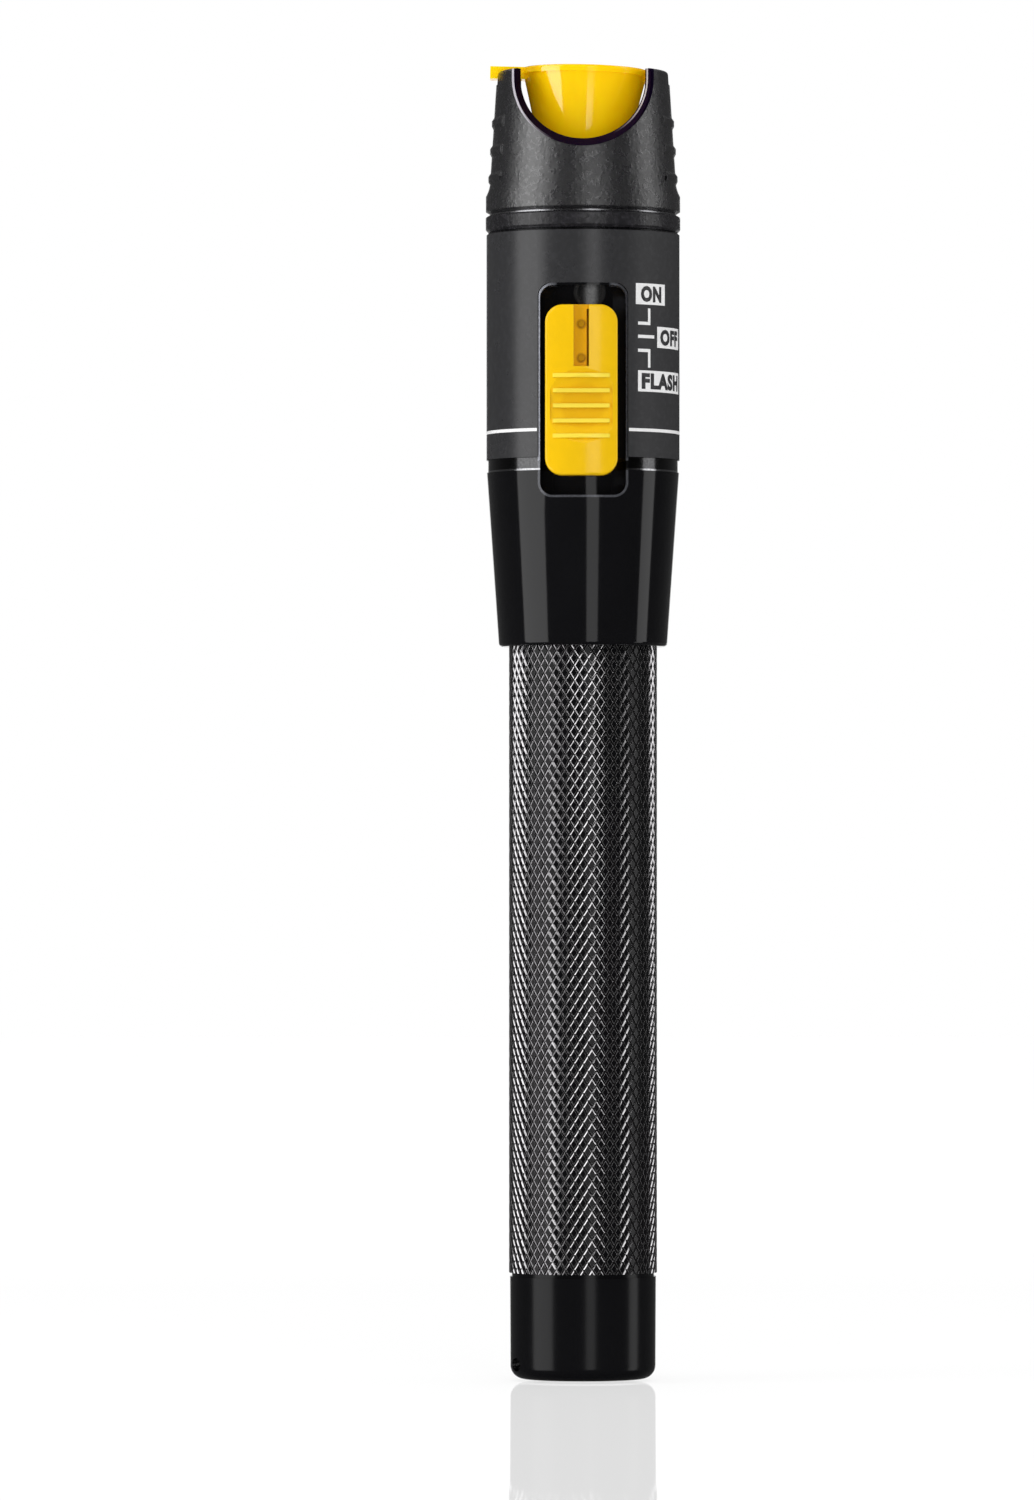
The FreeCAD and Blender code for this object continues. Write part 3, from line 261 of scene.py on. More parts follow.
def grain_group():
    """Moulded grain: worm-like pits with a finer grit; gives a height, and a mask of its crests."""
    group, given, gives = node_group(
        "Moulded grain", {"Grain": 2600.0, "Grit": 9000.0}, "Height", "Crest")
    point, worm_share = object_point(group), 0.75
    worms = noise(group, point, given["Grain"], detail=2.0)
    grit = noise(group, point, given["Grit"], detail=2.0)
    height = plus(group, times(group, worms, worm_share), times(group, grit, 1 - worm_share))
    crest = spread(group, height, centre=0.56, width=0.08)
    return closed(group, gives, Height=height, Crest=crest)


def turned_group():
    """Fine rings left by a lathe, with slow drifts of colour; gives a height and a tone."""
    group, given, gives = node_group("Turned rings", {"Rings": 9000.0}, "Height", "Tone")
    stretched = object_point(group, (0.002, 0.002, 1.0))
    return closed(group, gives, Height=noise(group, stretched, given["Rings"], detail=2.0),
                  Tone=noise(group, object_point(group), scale=60.0, detail=2.0))


def smear_group():
    """Faint cloudy smears and specks from handling; gives a value to add to roughness."""
    group, given, gives = node_group("Handling", {"Amount": 0.08}, "Rough")
    point, speck_weight = object_point(group), 1.5
    cloud = noise(group, point, scale=180.0, detail=4.0)
    speck = spread(group, noise(group, point, scale=5200.0, detail=1.0), centre=0.74, width=0.05)
    total = plus(group, cloud, times(group, speck, speck_weight))
    return closed(group, gives, Rough=times(group, total, given["Amount"]))


def rib_group():
    """Mask of the tops of a row of level ribs on the pen's front, where a highlight is painted."""
    group, given, gives = node_group(
        "Rib tops", {"Low": 0.0, "Pitch": 1.0, "Count": 5.0, "Middle": 0.0, "Half width": 1.0},
        "Mask")
    half_top, sharpness = 0.17, 14.0
    across, _, up = axes(group)
    rise = maths(group, "DIVIDE", minus(group, up, given["Low"]), given["Pitch"])
    step = maths(group, "ROUND", rise)
    off = maths(group, "ABSOLUTE", minus(group, rise, step))
    tops = times(group, minus(group, half_top, off), sharpness, clamp=True)
    in_row = between(group, step, -0.5, minus(group, given["Count"], 0.5))
    beside = maths(group, "ABSOLUTE", minus(group, across, given["Middle"]))
    inside = maths(group, "LESS_THAN", beside, given["Half width"])
    return closed(group, gives, Mask=times(group, times(group, tops, inside), in_row))


# Used both for the knurl's worn crests and for the slider's painted shade.
def crest_group():
    """How far out from the pen's axis a point lies, from 0 at one radius to 1 at another."""
    group, given, gives = node_group(
        "Crest wear and shade", {"Valley": 9.65 * MM, "Crest": 9.89 * MM}, "Wear")
    span = minus(group, given["Crest"], given["Valley"])
    out = minus(group, radius_of(group), given["Valley"])
    return closed(group, gives, Wear=maths(group, "DIVIDE", out, span, clamp=True))


def band_group():
    """Mask of a band along the pen between two heights, outside a radius."""
    group, given, gives = node_group("Band", {"Foot": 0.0, "Head": 1.0, "Inside": 0.0}, "Mask")
    outside = maths(group, "GREATER_THAN", radius_of(group), given["Inside"])
    within = between(group, axes(group)["Z"], given["Foot"], given["Head"])
    return closed(group, gives, Mask=times(group, within, outside))


def rim_group():
    """Mask of the rim round a rectangle with round corners on the pen's front.

    Above a foot it fades towards the rectangle's middle, and below it the whole rim is faint."""
    group, given, gives = node_group(
        "Window rim", {"Centre": 0.0, "Half width": 1.0, "Half height": 1.0, "Corner": 0.1,
                       "Rim": 0.1, "Foot": 0.0}, "Mask")
    lap, front, faded, fade, faint = 0.05 * MM, -5 * MM, 3.4 * MM, 0.8 / MM, 0.25
    across, deep, up = axes(group)
    squares = []
    for place, half in ((across, "Half width"), (minus(group, up, given["Centre"]), "Half height")):
        inner = minus(group, given[half], given["Corner"])
        past = minus(group, maths(group, "ABSOLUTE", place), inner)
        squares.append(maths(group, "POWER", maths(group, "MAXIMUM", past, 0.0), 2.0))
    away = minus(group, maths(group, "SQRT", plus(group, *squares)), given["Corner"])
    near = between(group, away, -lap, given["Rim"])
    side = times(group, minus(group, maths(group, "ABSOLUTE", across), faded), fade, clamp=True)
    above = maths(group, "GREATER_THAN", up, given["Foot"])
    share = plus(group, times(group, above, side), times(group, minus(group, 1.0, above), faint))
    facing = maths(group, "LESS_THAN", deep, front)
    return closed(group, gives, Mask=times(group, times(group, near, share), facing))


def cut_group():
    """Mask of what lies inside a U cut through the pen, a round foot with straight sides above.

    Edge is a mask of the cut's front edges where highlights are painted: the outer one on the left
    and the inner one on the right."""
    group, given, gives = node_group(
        "U cut", {"Centre": 0.0, "Radius": 1.0, "Bevel": 0.1}, "Mask", "Edge")
    front, slope, inset = -3 * MM, 0.25 / MM, 0.1 * MM
    across, deep, up = axes(group)
    drop = maths(group, "MINIMUM", minus(group, up, given["Centre"]), 0.0)
    away = maths(group, "SQRT", plus(group, maths(group, "POWER", across, 2.0),
                                     times(group, drop, drop)))
    outer = minus(group, given["Radius"], inset)
    inner = minus(group, given["Radius"], given["Bevel"])
    lines = []
    for radius, way, half_width in ((outer, -1, 0.14 * MM), (inner, 1, 0.1 * MM)):
        line = maths(group, "COMPARE", away, radius)
        line.node.inputs[2].default_value = half_width
        side = minus(group, times(group, across, way * slope), 1.0)
        lines.append(times(group, line, maths(group, "MAXIMUM", side, 0.0), clamp=True))
    facing = maths(group, "LESS_THAN", deep, front)
    return closed(group, gives, Mask=maths(group, "LESS_THAN", away, given["Radius"]),
                  Edge=times(group, maths(group, "MAXIMUM", *lines), facing))


def patch_group():
    """Soft round patch about a point, such as where a coat is rubbed."""
    group, given, gives = node_group(
        "Rubbed patch", {"Place": (0.0, 0.0, 0.0), "Reach": 1.0}, "Mask")
    softness = 3.0
    away = group.nodes.new("ShaderNodeVectorMath")
    away.operation = "DISTANCE"
    group.links.new(object_point(group), away.inputs[0])
    group.links.new(given["Place"], away.inputs[1])
    share = maths(group, "DIVIDE", away.outputs["Value"], given["Reach"])
    near = times(group, minus(group, 1.0, share), softness, clamp=True)
    return closed(group, gives, Mask=near)


GROUP_MAKERS = {
    "grain": grain_group, "turned": turned_group, "smear": smear_group, "rib": rib_group,
    "crest": crest_group, "band": band_group, "rim": rim_group, "cut": cut_group,
    "patch": patch_group}
SHARED = {}


def shared(tree, key, **values):
    """Outputs of a shared group placed in a material's tree, with its own values."""
    if key not in SHARED:
        SHARED[key] = GROUP_MAKERS[key]()
    node = tree.nodes.new("ShaderNodeGroup")
    node.node_tree = SHARED[key]
    for title, value in values.items():
        node.inputs[title.replace("_", " ").capitalize()].default_value = value
    return node.outputs


def masked(tree, key, **values):
    """Mask of a shared group."""
    return shared(tree, key, **values)["Mask"]


# ---------------------------------------------------------------- materials

def plain(name, colour, rough, metal=0.0, ior=1.5, gloss=0.5):
    """Material with a Principled shader set on its own sockets."""
    made = bpy.data.materials.new(name)
    made.use_nodes = True
    shader = made.node_tree.nodes["Principled BSDF"]
    for title, value in (("Base Color", (*colour, 1.0)), ("Roughness", rough), ("Metallic", metal),
                         ("IOR", ior), ("Specular IOR Level", gloss)):
        shader.inputs[title].default_value = value
    return made, made.node_tree, shader


def bump(tree, shader, height, strength, distance, edge=0.0, upright=None):
    """Bump from a height socket on the shader's normal, over edges rounded by a radius.

    Where the upright mask is 1, the surface is shaded as if it stood straight out from the axis."""
    if edge:
        rounded = tree.nodes.new("ShaderNodeBevel")
        rounded.inputs["Radius"].default_value = edge
        normal = rounded.outputs["Normal"]
    else:
        normal = tree.nodes.new("ShaderNodeNewGeometry").outputs["Normal"]
    if upright is not None:
        outward = tree.nodes.new("ShaderNodeVectorTransform")
        outward.vector_type = "NORMAL"
        outward.convert_from, outward.convert_to = "OBJECT", "WORLD"
        tree.links.new(object_point(tree, (1, 1, 0)), outward.inputs[0])
        straight = tree.nodes.new("ShaderNodeVectorMath")
        straight.operation = "NORMALIZE"
        tree.links.new(outward.outputs[0], straight.inputs[0])
        normal = blend(tree, upright, normal, straight.outputs["Vector"], "VECTOR")
    node = tree.nodes.new("ShaderNodeBump")
    node.inputs["Strength"].default_value = strength
    node.inputs["Distance"].default_value = distance
    tree.links.new(normal, node.inputs["Normal"])
    tree.links.new(height, node.inputs["Height"])
    tree.links.new(node.outputs["Normal"], shader.inputs["Normal"])


def rough_from(tree, shader, base, extra):
    """Roughness of base plus a socket."""
    tree.links.new(plus(tree, extra, base, clamp=True), shader.inputs["Roughness"])


def handled(tree, shader, base, amount):
    """Roughness of base with smears from handling."""
    rough_from(tree, shader, base, shared(tree, "smear", amount=amount)["Rough"])


def tinted(tree, shader, factor, first, second):
    """Base colour mixed from two colours by a factor socket."""
    tree.links.new(blend(tree, factor, first, second), shader.inputs["Base Color"])


def scaled(colour, share):
    return tuple(channel * share for channel in colour)


GRAIN_DEPTH, RING_DEPTH, FLOW_DEPTH = 0.12 * MM, 0.02 * MM, 0.05 * MM


def grained_plastic(name, colour, rough, grain=2600.0, strength=0.55, gloss=0.5, edge=0.0,
                    ior=1.5, cut=None, skirt=None):
    """Matt moulded plastic with a worm grain whose crests are a little paler and smoother.

    A U cut, where its values are given, has painted shade on its bevel, which is dark and dull, and
    painted highlights on its edges. A skirt holds the values of a band that is shaded as straight
    as the wall above it."""
    pit_share, crest_share, crest_polish, painted_edge_highlight = 0.75, 1.8, -0.12, (0.5, 0.47, 0.52)
    made, tree, shader = plain(name, colour, rough, gloss=gloss, ior=ior)
    mould = shared(tree, "grain", grain=grain)
    tint = blend(tree, mould["Crest"], scaled(colour, pit_share), scaled(colour, crest_share))
    dull = times(tree, mould["Crest"], crest_polish)
    if cut:
        opening = shared(tree, "cut", **cut)
        inside, edges = opening["Mask"], opening["Edge"]
        # Painted shade: the bevel inside the cut is tinted dark purple. Painted highlight: its
        # front edges are tinted pale grey.
        tint = blend(tree, inside, tint, tuple(bpy.context.scene.pen_colours.flare_shade))
        tint = blend(tree, edges, tint, painted_edge_highlight)
        tree.links.new(minus(tree, inside, edges, clamp=True), shader.inputs["Metallic"])
        dull = plus(tree, dull, inside)
    tree.links.new(tint, shader.inputs["Base Color"])
    rough_from(tree, shader, rough, dull)
    straight = masked(tree, "band", **skirt) if skirt else None
    bump(tree, shader, mould["Height"], strength, GRAIN_DEPTH, edge, straight)
    return made


def gloss_plastic(name, colour, rough=0.22, ior=1.5, gloss=0.5, edge=0.0, dress=None):
    """Smooth moulded plastic with faint flow marks and handling smears.

    Dress is a function that changes the tint, and the shader where needed, for one piece."""
    dark_share, flow_strength = 0.93, 0.12
    made, tree, shader = plain(name, colour, rough, ior=ior, gloss=gloss)
    handled(tree, shader, rough, amount=0.1)
    flow = noise(tree, object_point(tree), scale=320.0)
    marks = spread(tree, flow, centre=0.5, width=0.25)
    tint = blend(tree, marks, scaled(colour, dark_share), colour)
    if dress:
        tint = dress(tree, shader, tint)
    tree.links.new(tint, shader.inputs["Base Color"])
    bump(tree, shader, flow, flow_strength, FLOW_DEPTH, edge)
    return made


def cap_dress(tree, shader, tint):
    """Light gets into the cap's plastic, and its left is polished by the thumb.

    So it scatters; it also has a faint painted glow, and painted orange shade where it is seen at a
    slant."""
    edge_shade_share, edge_shade_tint = 1.35, (1.0, 0.5, 0.0)
    # The emission is a painted glow: the cap gives off a little light of its own.
    for title, value in (("Subsurface Weight", 0.6), ("Subsurface Radius", (1.0, 0.6, 0.1)),
                         ("Subsurface Scale", 1.5 * MM), ("Emission Strength", 0.16),
                         ("Emission Color", (1.0, 0.62, 0.0, 1.0)), ("Coat IOR", 1.75)):
        shader.inputs[title].default_value = value
    polish = masked(tree, "patch", place=(-6 * MM, -6 * MM, 169 * MM), reach=8.5 * MM)
    tree.links.new(polish, shader.inputs["Coat Weight"])
    # Painted shade: the tint turns orange where the surface turns away from the view.
    aside = tree.nodes.new("ShaderNodeLayerWeight").outputs["Facing"]
    return blend(tree, times(tree, aside, edge_shade_share, clamp=True), tint, edge_shade_tint)


def slider_dress(tree, shader, tint):
    """The slider has painted shade, a deeper yellow, in its slot and, less, in its hollow, painted
    highlights on its rib tops, and a darker disc of painted shade at each of its two pips.
    """
    deep = tuple(bpy.context.scene.pen_colours.deep)
    middle, front, slot_share = -0.22 * MM, -12.7 * MM, 0.65
    rib_highlight_tint, pip_shade_tint = (1.0, 0.78, 0.07), scaled(deep, 0.62)
    # Painted shade: the further in from the crown a point lies, the deeper its yellow, most in the
    # slot.
    lift = shared(tree, "crest", valley=12.45 * MM, crest=12.82 * MM)["Wear"]
    below_slot = minus(tree, 1.0, masked(tree, "band", foot=134.2 * MM, head=1.0))
    lift = maths(tree, "MAXIMUM", lift, times(tree, below_slot, slot_share))
    # Painted highlight: the rib tops are tinted paler.
    ribs = masked(tree, "rib", low=125.42 * MM, pitch=2 * MM, count=5.0, middle=middle,
                  half_width=3.8 * MM)
    tint = blend(tree, ribs, blend(tree, lift, deep, tint), rib_highlight_tint)
    # Painted shade: a darker disc at each of the two pips.
    for height in (140.2 * MM, 135.7 * MM):
        pip = masked(tree, "patch", place=(middle, front, height), reach=0.8 * MM)
        tint = blend(tree, pip, tint, pip_shade_tint)
    return tint


def thread_height(tree, foot, radius, pitch):
    """Height of a screw thread above a level on what lies inside a radius."""
    across, deep, up = axes(tree)
    turn = maths(tree, "ARCTAN2", deep, across)
    wave = maths(tree, "SINE", plus(tree, turn, times(tree, up, 2 * math.pi / pitch)))
    above = masked(tree, "band", foot=foot, head=1.0)
    beyond = masked(tree, "band", foot=foot, head=1.0, inside=radius)
    return times(tree, wave, minus(tree, above, beyond))


def worn(kind, metal, shine, **values):
    """Place where metal shows through a coat: group of its mask, colour, roughness and values."""
    return kind, metal, shine, values


def black_metal(name, colour, rough, rings=0.05, gloss=0.5, bare=(), thread=None, grain=0.0):
    """Black coated aluminium with the lathe's fine rings under the gloss.

    Bare holds the worn places. A thread is (foot, radius that it stays inside, pitch). Grain is
    the scale of a blasted coat, whose worn places are shaded as if they stood straight out."""
    tone_share, crest_share, crest_polish, least_cover = 1.7, 3.0, -0.1, 0.4
    thread_strength, grain_strength = 7.0, 0.6
    made, tree, shader = plain(name, colour, rough, ior=1.6, gloss=gloss)
    lathe = shared(tree, "turned")
    tint = blend(tree, lathe["Tone"], colour, scaled(colour, tone_share))
    dull = plus(tree, shared(tree, "smear", amount=0.05)["Rough"], rough)
    specks = noise(tree, object_point(tree), scale=4500.0, detail=2.0)
    grit = spread(tree, specks, centre=0.5, width=0.25)
    cover = plus(tree, times(tree, grit, 1 - least_cover), least_cover)
    shown = None
    for kind, metal, shine, values in bare:
        mask = masked(tree, kind, **values)
        tint = blend(tree, times(tree, mask, cover), tint, metal)
        dull = blend(tree, mask, dull, shine, "FLOAT")
        shown = mask if shown is None else maths(tree, "MAXIMUM", shown, mask)
        tree.links.new(shown, shader.inputs["Metallic"])
    height, strength, depth = lathe["Height"], rings, RING_DEPTH
    if thread:
        turns = times(tree, thread_height(tree, *thread), thread_strength)
        height, strength = plus(tree, times(tree, height, rings), turns), 1.0
    if grain:
        mould, coated = shared(tree, "grain", grain=grain), minus(tree, 1.0, shown)
        crest = times(tree, mould["Crest"], coated)
        tint = blend(tree, crest, tint, scaled(colour, crest_share))
        dull = plus(tree, dull, times(tree, crest, crest_polish), clamp=True)
        height = times(tree, mould["Height"], coated)
        strength, depth = grain_strength, GRAIN_DEPTH
    tree.links.new(tint, shader.inputs["Base Color"])
    tree.links.new(dull, shader.inputs["Roughness"])
    bump(tree, shader, height, strength, depth, upright=shown if grain else None)
    return made


def knurl_metal(name, colour, land):
    """Worn knurl: bare bright flanks round lands that keep their black coat."""
    rough, dark_share, bright_share = 0.1, 0.7, 1.8
    made, tree, shader = plain(name, colour, rough, metal=1.0, gloss=0.2)
    top = high("battery_tube").x
    coat = shared(tree, "crest", valley=top - 0.035 * MM, crest=top - 0.015 * MM)["Wear"]
    wear = shared(tree, "crest", valley=top - 0.14 * MM, crest=top - 0.02 * MM)["Wear"]
    rubbed = spread(tree, noise(tree, object_point(tree), scale=900.0), centre=0.42, width=0.3)
    bright = times(tree, wear, rubbed, clamp=True)
    flank = blend(tree, bright, scaled(colour, dark_share), scaled(colour, bright_share))
    tinted(tree, shader, coat, flank, land)
    tree.links.new(minus(tree, 1.0, coat, clamp=True), shader.inputs["Metallic"])
    handled(tree, shader, rough, amount=0.08)
    return made


def label_film(name, colour):
    """Printed film: satin, with a fine orange-peel surface, duller towards the right."""
    rough, pit_share, crest_share = 0.24, 0.9, 1.15
    dull_from, dulling, peel_strength = 4 * MM, 0.06 / MM, 0.03
    made, tree, shader = plain(name, colour, rough)
    mould = shared(tree, "grain", grain=1500.0)
    tinted(tree, shader, mould["Crest"], scaled(colour, pit_share), scaled(colour, crest_share))
    fingered = times(tree, minus(tree, axes(tree)["X"], dull_from), dulling, clamp=True)
    smear = shared(tree, "smear", amount=0.08)["Rough"]
    rough_from(tree, shader, rough, plus(tree, smear, fingered))
    bump(tree, shader, mould["Height"], peel_strength, FLOW_DEPTH)
    return made


def ink(name, colour):
    """Screen print, a little uneven."""
    made, tree, shader = plain(name, colour, rough=0.4)
    cover, thin_share = noise(tree, object_point(tree), scale=3000.0, detail=2.0), 0.9
    tinted(tree, shader, cover, scaled(colour, thin_share), colour)
    return made


def bare_metal(name, colour, rough):
    """Turned or drawn bare metal."""
    made, tree, shader = plain(name, colour, rough, metal=1.0)
    lathe, dark_share, ring_strength = shared(tree, "turned", rings=16000.0), 0.85, 0.15
    tinted(tree, shader, lathe["Tone"], scaled(colour, dark_share), colour)
    handled(tree, shader, rough, amount=0.1)
    bump(tree, shader, lathe["Height"], ring_strength, RING_DEPTH)
    return made


def lens_glass(name):
    """Clear glass with a faint blue coating."""
    bluish, purplish = (0.9, 0.95, 1.0), (0.95, 0.93, 1.0)
    made, tree, shader = plain(name, bluish, rough=0.02)
    shader.inputs["Transmission Weight"].default_value = 1.0
    film = noise(tree, object_point(tree), scale=900.0, detail=1.0)
    tinted(tree, shader, film, bluish, purplish)
    return made


def finishes():
    """Material for each slot of the record, and the inks."""
    colours = bpy.context.scene.pen_colours
    cap, slider, head, gloss, knurl, label, white = (
        tuple(getattr(colours, name)) for name in
        ("cap", "slider", "head", "gloss", "knurl", "label", "print_white"))
    ring, jacket, mask_green = scaled(head, 0.8), (0.05, 0.07, 0.11), (0.02, 0.17, 0.06)
    nickel, steel, brass = (0.72, 0.71, 0.69), (0.58, 0.58, 0.6), (0.78, 0.58, 0.24)
    ceramic, carrier = (0.9, 0.89, 0.85), (0.03, 0.03, 0.03)
    moulded, rubber = (0.02, 0.02, 0.02), (0.015, 0.015, 0.015)
    ring_top, film_foot, film_top = high("lock_ring").z, low("label").z, high("label").z
    u_cut = {"centre": high("head").z - 1.3 * MM, "radius": 9.42 * MM, "bevel": 0.88 * MM}
    skirt = {"foot": ring_top + 0.5 * MM, "head": ring_top + 4.8 * MM}
    vee = worn("band", metal=(0.5, 0.5, 0.52), shine=0.26,
               foot=ring_top - 0.24 * MM, head=ring_top + 1 * MM)
    groove = worn("band", metal=(0.13, 0.13, 0.133), shine=0.13,
                  foot=film_foot - 1.7 * MM, head=film_foot - 0.1 * MM)
    groove_edge = worn("band", metal=(0.6, 0.6, 0.62), shine=0.16, inside=12.2 * MM,
                       foot=film_foot - 1.75 * MM, head=film_foot - 1.5 * MM)
    shoulder = worn("band", metal=(0.3, 0.3, 0.31), shine=0.25,
                    foot=film_top, head=high("front_body").z)
    window = worn("rim", metal=(0.42, 0.43, 0.48), shine=0.42, centre=131.5 * MM,
                  half_width=5.7 * MM, half_height=13.9 * MM, corner=1.7 * MM, rim=0.3 * MM,
                  foot=film_foot - 0.5 * MM)
    rub = worn("patch", metal=(0.13, 0.13, 0.13), shine=0.2,
               place=(0.9 * MM, -10.3 * MM, 144.6 * MM), reach=2.2 * MM)
    tail_thread = (low("battery_tube").z + 0.1 * MM, 9.3 * MM, 0.75 * MM)
    return {
        "head_plastic": grained_plastic(
            "Grained black plastic", head, rough=0.34, grain=1500.0, strength=0.8, gloss=0.9,
            edge=0.3 * MM, ior=1.75, cut=u_cut, skirt=skirt),
        "cap_plastic": gloss_plastic(
            "Yellow cap plastic", cap, rough=0.1, gloss=0.3, dress=cap_dress),
        "slider_plastic": gloss_plastic(
            "Yellow slider plastic", slider, rough=0.12, gloss=0.4, edge=0.12 * MM,
            dress=slider_dress),
        "ring_metal": black_metal(
            "Satin black metal", ring, rough=0.28, gloss=0.45, bare=[vee], grain=1500.0),
        "body_metal": black_metal(
            "Glossy black metal", gloss, rough=0.06, gloss=0.25,
            bare=[groove, groove_edge, shoulder, window, rub]),
        "tail_metal": black_metal(
            "Glossy black tail metal", gloss, rough=0.16, gloss=0.16, thread=tail_thread),
        "tube_metal": knurl_metal("Worn knurled metal", knurl, gloss),
        "label_film": label_film("Label film", label),
        "white_ink": ink("Ink white", white),
        "black_ink": ink("Ink black", label),
        "port_metal": bare_metal("Nickel plated metal", nickel, rough=0.14),
        "zirconia": gloss_plastic("Zirconia", ceramic, rough=0.1, ior=2.1),
        "steel": bare_metal("Bright steel", steel, rough=0.25),
        "brass": bare_metal("Turned brass", brass, rough=0.22),
        "lens_glass": lens_glass("Coated glass"),
        "cell_jacket": gloss_plastic("Cell jacket", jacket, rough=0.2),
        "carrier_plastic": grained_plastic(
            "Black carrier plastic", carrier, rough=0.5, grain=1800.0, strength=0.3),
        "board": gloss_plastic("Solder mask", mask_green, rough=0.25),
        "chip": grained_plastic(
            "Moulded chip", moulded, rough=0.5, grain=4000.0, strength=0.3),
        "seal_rubber": grained_plastic(
            "Seal rubber", rubber, rough=0.6, grain=5000.0, strength=0.3),
    }


SLOT_OF = {part["node"]: part["material_slot"] for part in frame["record"]["subparts"]}
MADE = {}


def finish_of(slot):
    """Material of a record slot, or an ink, made once."""
    if not MADE:
        MADE.update(finishes())
    return MADE[slot]


def kept(name, mesh, slot, finish=None):
    """New piece of a slot that rides on the pen, in the slot's finish or another."""
    piece = bpy.data.objects.new(name, mesh)
    bpy.context.scene.collection.objects.link(piece)
    mesh.materials.clear()
    mesh.materials.append(finish_of(finish or slot))
    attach(piece, "pen")
    return piece


# ---------------------------------------------------------------- operators

class PEN_OT_finishes(bpy.types.Operator):
    """Give every CAD piece the finish of its slot"""
    bl_idname = "pen.finishes"
    bl_label = "Finishes"

    def execute(self, context):
        for name, piece in frame["nodes"].items():
            for place in piece.material_slots:
                place.material = finish_of(SLOT_OF[name])
        return {"FINISHED"}


def diamond(starts, pitch, crest, valley, land):
    """One diamond of the knurl at azimuth 0: four valley corners, a flat top and four flanks."""
    mesh = bpy.data.meshes.new("diamond")
    corners = []
    for radius, share in ((valley, 1.0), (crest, land)):
        for across, up in ((-1, 0), (0, -1), (1, 0), (0, 1)):
            turn = across * math.pi / starts * share
            corners.append((radius * math.sin(turn), -radius * math.cos(turn),
                            up * pitch / 2 * share))
    flanks = [(i, (i + 1) % 4, 4 + (i + 1) % 4, 4 + i) for i in range(4)]
    mesh.from_pydata(corners, [], [(4, 5, 6, 7)] + flanks)
    return bpy.data.objects.new("diamond", mesh)


def knurl_tree(material):
    """Geometry Nodes: rows of diamonds round the tube, every second row half a diamond on."""
    tree = bpy.data.node_groups.new("Knurl", "GeometryNodeTree")
    for name, kind in (("Diamond", "Object"), ("Starts", "Int"), ("Rows", "Int"),
                       ("First row", "Float"), ("Row step", "Float")):
        tree.interface.new_socket(name, in_out="INPUT", socket_type="NodeSocket" + kind)
    tree.interface.new_socket("Geometry", in_out="OUTPUT", socket_type="NodeSocketGeometry")
    new, link = tree.nodes.new, tree.links.new
    given, end = new("NodeGroupInput").outputs, new("NodeGroupOutput")
    index = new("GeometryNodeInputIndex").outputs[0]
    row = maths(tree, "FLOOR", maths(tree, "DIVIDE", index, given["Starts"]))
    column = maths(tree, "MODULO", index, given["Starts"])
    offset = times(tree, maths(tree, "MODULO", row, 2.0), 0.5)
    step = maths(tree, "DIVIDE", 2 * math.pi, given["Starts"])
    place, spin = new("ShaderNodeCombineXYZ"), new("ShaderNodeCombineXYZ")
    link(plus(tree, given["First row"], times(tree, row, given["Row step"])), place.inputs["Z"])
    link(times(tree, plus(tree, column, offset), step), spin.inputs["Z"])
    points = new("GeometryNodePoints")
    link(times(tree, given["Starts"], given["Rows"]), points.inputs["Count"])
    link(place.outputs[0], points.inputs["Position"])
    info = new("GeometryNodeObjectInfo")
    link(given["Diamond"], info.inputs["Object"])
    copies = new("GeometryNodeInstanceOnPoints")
    link(points.outputs[0], copies.inputs["Points"])
    link(info.outputs["Geometry"], copies.inputs["Instance"])
    link(spin.outputs[0], copies.inputs["Rotation"])
    real = new("GeometryNodeRealizeInstances")
    link(copies.outputs[0], real.inputs[0])
    weld = new("GeometryNodeMergeByDistance")
    weld.inputs["Distance"].default_value = 0.005 * MM
    link(real.outputs[0], weld.inputs["Geometry"])
    paint = new("GeometryNodeSetMaterial")
    paint.inputs["Material"].default_value = material
    link(weld.outputs[0], paint.inputs["Geometry"])
    link(paint.outputs[0], end.inputs["Geometry"])
    return tree


def plain_mesh(piece):
    """Mesh of an object as it is evaluated; the object is removed."""
    bpy.context.view_layer.update()
    evaluated = piece.evaluated_get(bpy.context.evaluated_depsgraph_get())
    mesh = bpy.data.meshes.new_from_object(evaluated)
    bpy.data.objects.remove(piece)
    return mesh


def run_tree(tree, values):
    """Mesh that a tree makes, with its inputs set by name."""
    host = bpy.data.objects.new("host", bpy.data.meshes.new("host"))
    bpy.context.scene.collection.objects.link(host)
    modifier = host.modifiers.new("Nodes", "NODES")
    modifier.node_group = tree
    for item in tree.interface.items_tree:
        if item.item_type == "SOCKET" and item.in_out == "INPUT":
            modifier[item.identifier] = values[item.name]
    host.update_tag()
    return plain_mesh(host)


def walls(bm, level, steps):
    """Carry the open edge at a level through (radius, height) steps."""
    ring = [edge for edge in bm.edges if edge.is_boundary
            and all(abs(vert.co.z - level) < 0.02 * MM for vert in edge.verts)]
    for radius, rise in steps:
        made = bmesh.ops.extrude_edge_only(bm, edges=ring)["geom"]
        ring = [item for item in made if isinstance(item, bmesh.types.BMEdge)
                and item.is_boundary]
        for vert in {vert for edge in ring for vert in edge.verts}:
            flat = Vector((vert.co.x, vert.co.y, 0)).normalized() * radius
            vert.co = (flat.x, flat.y, rise)


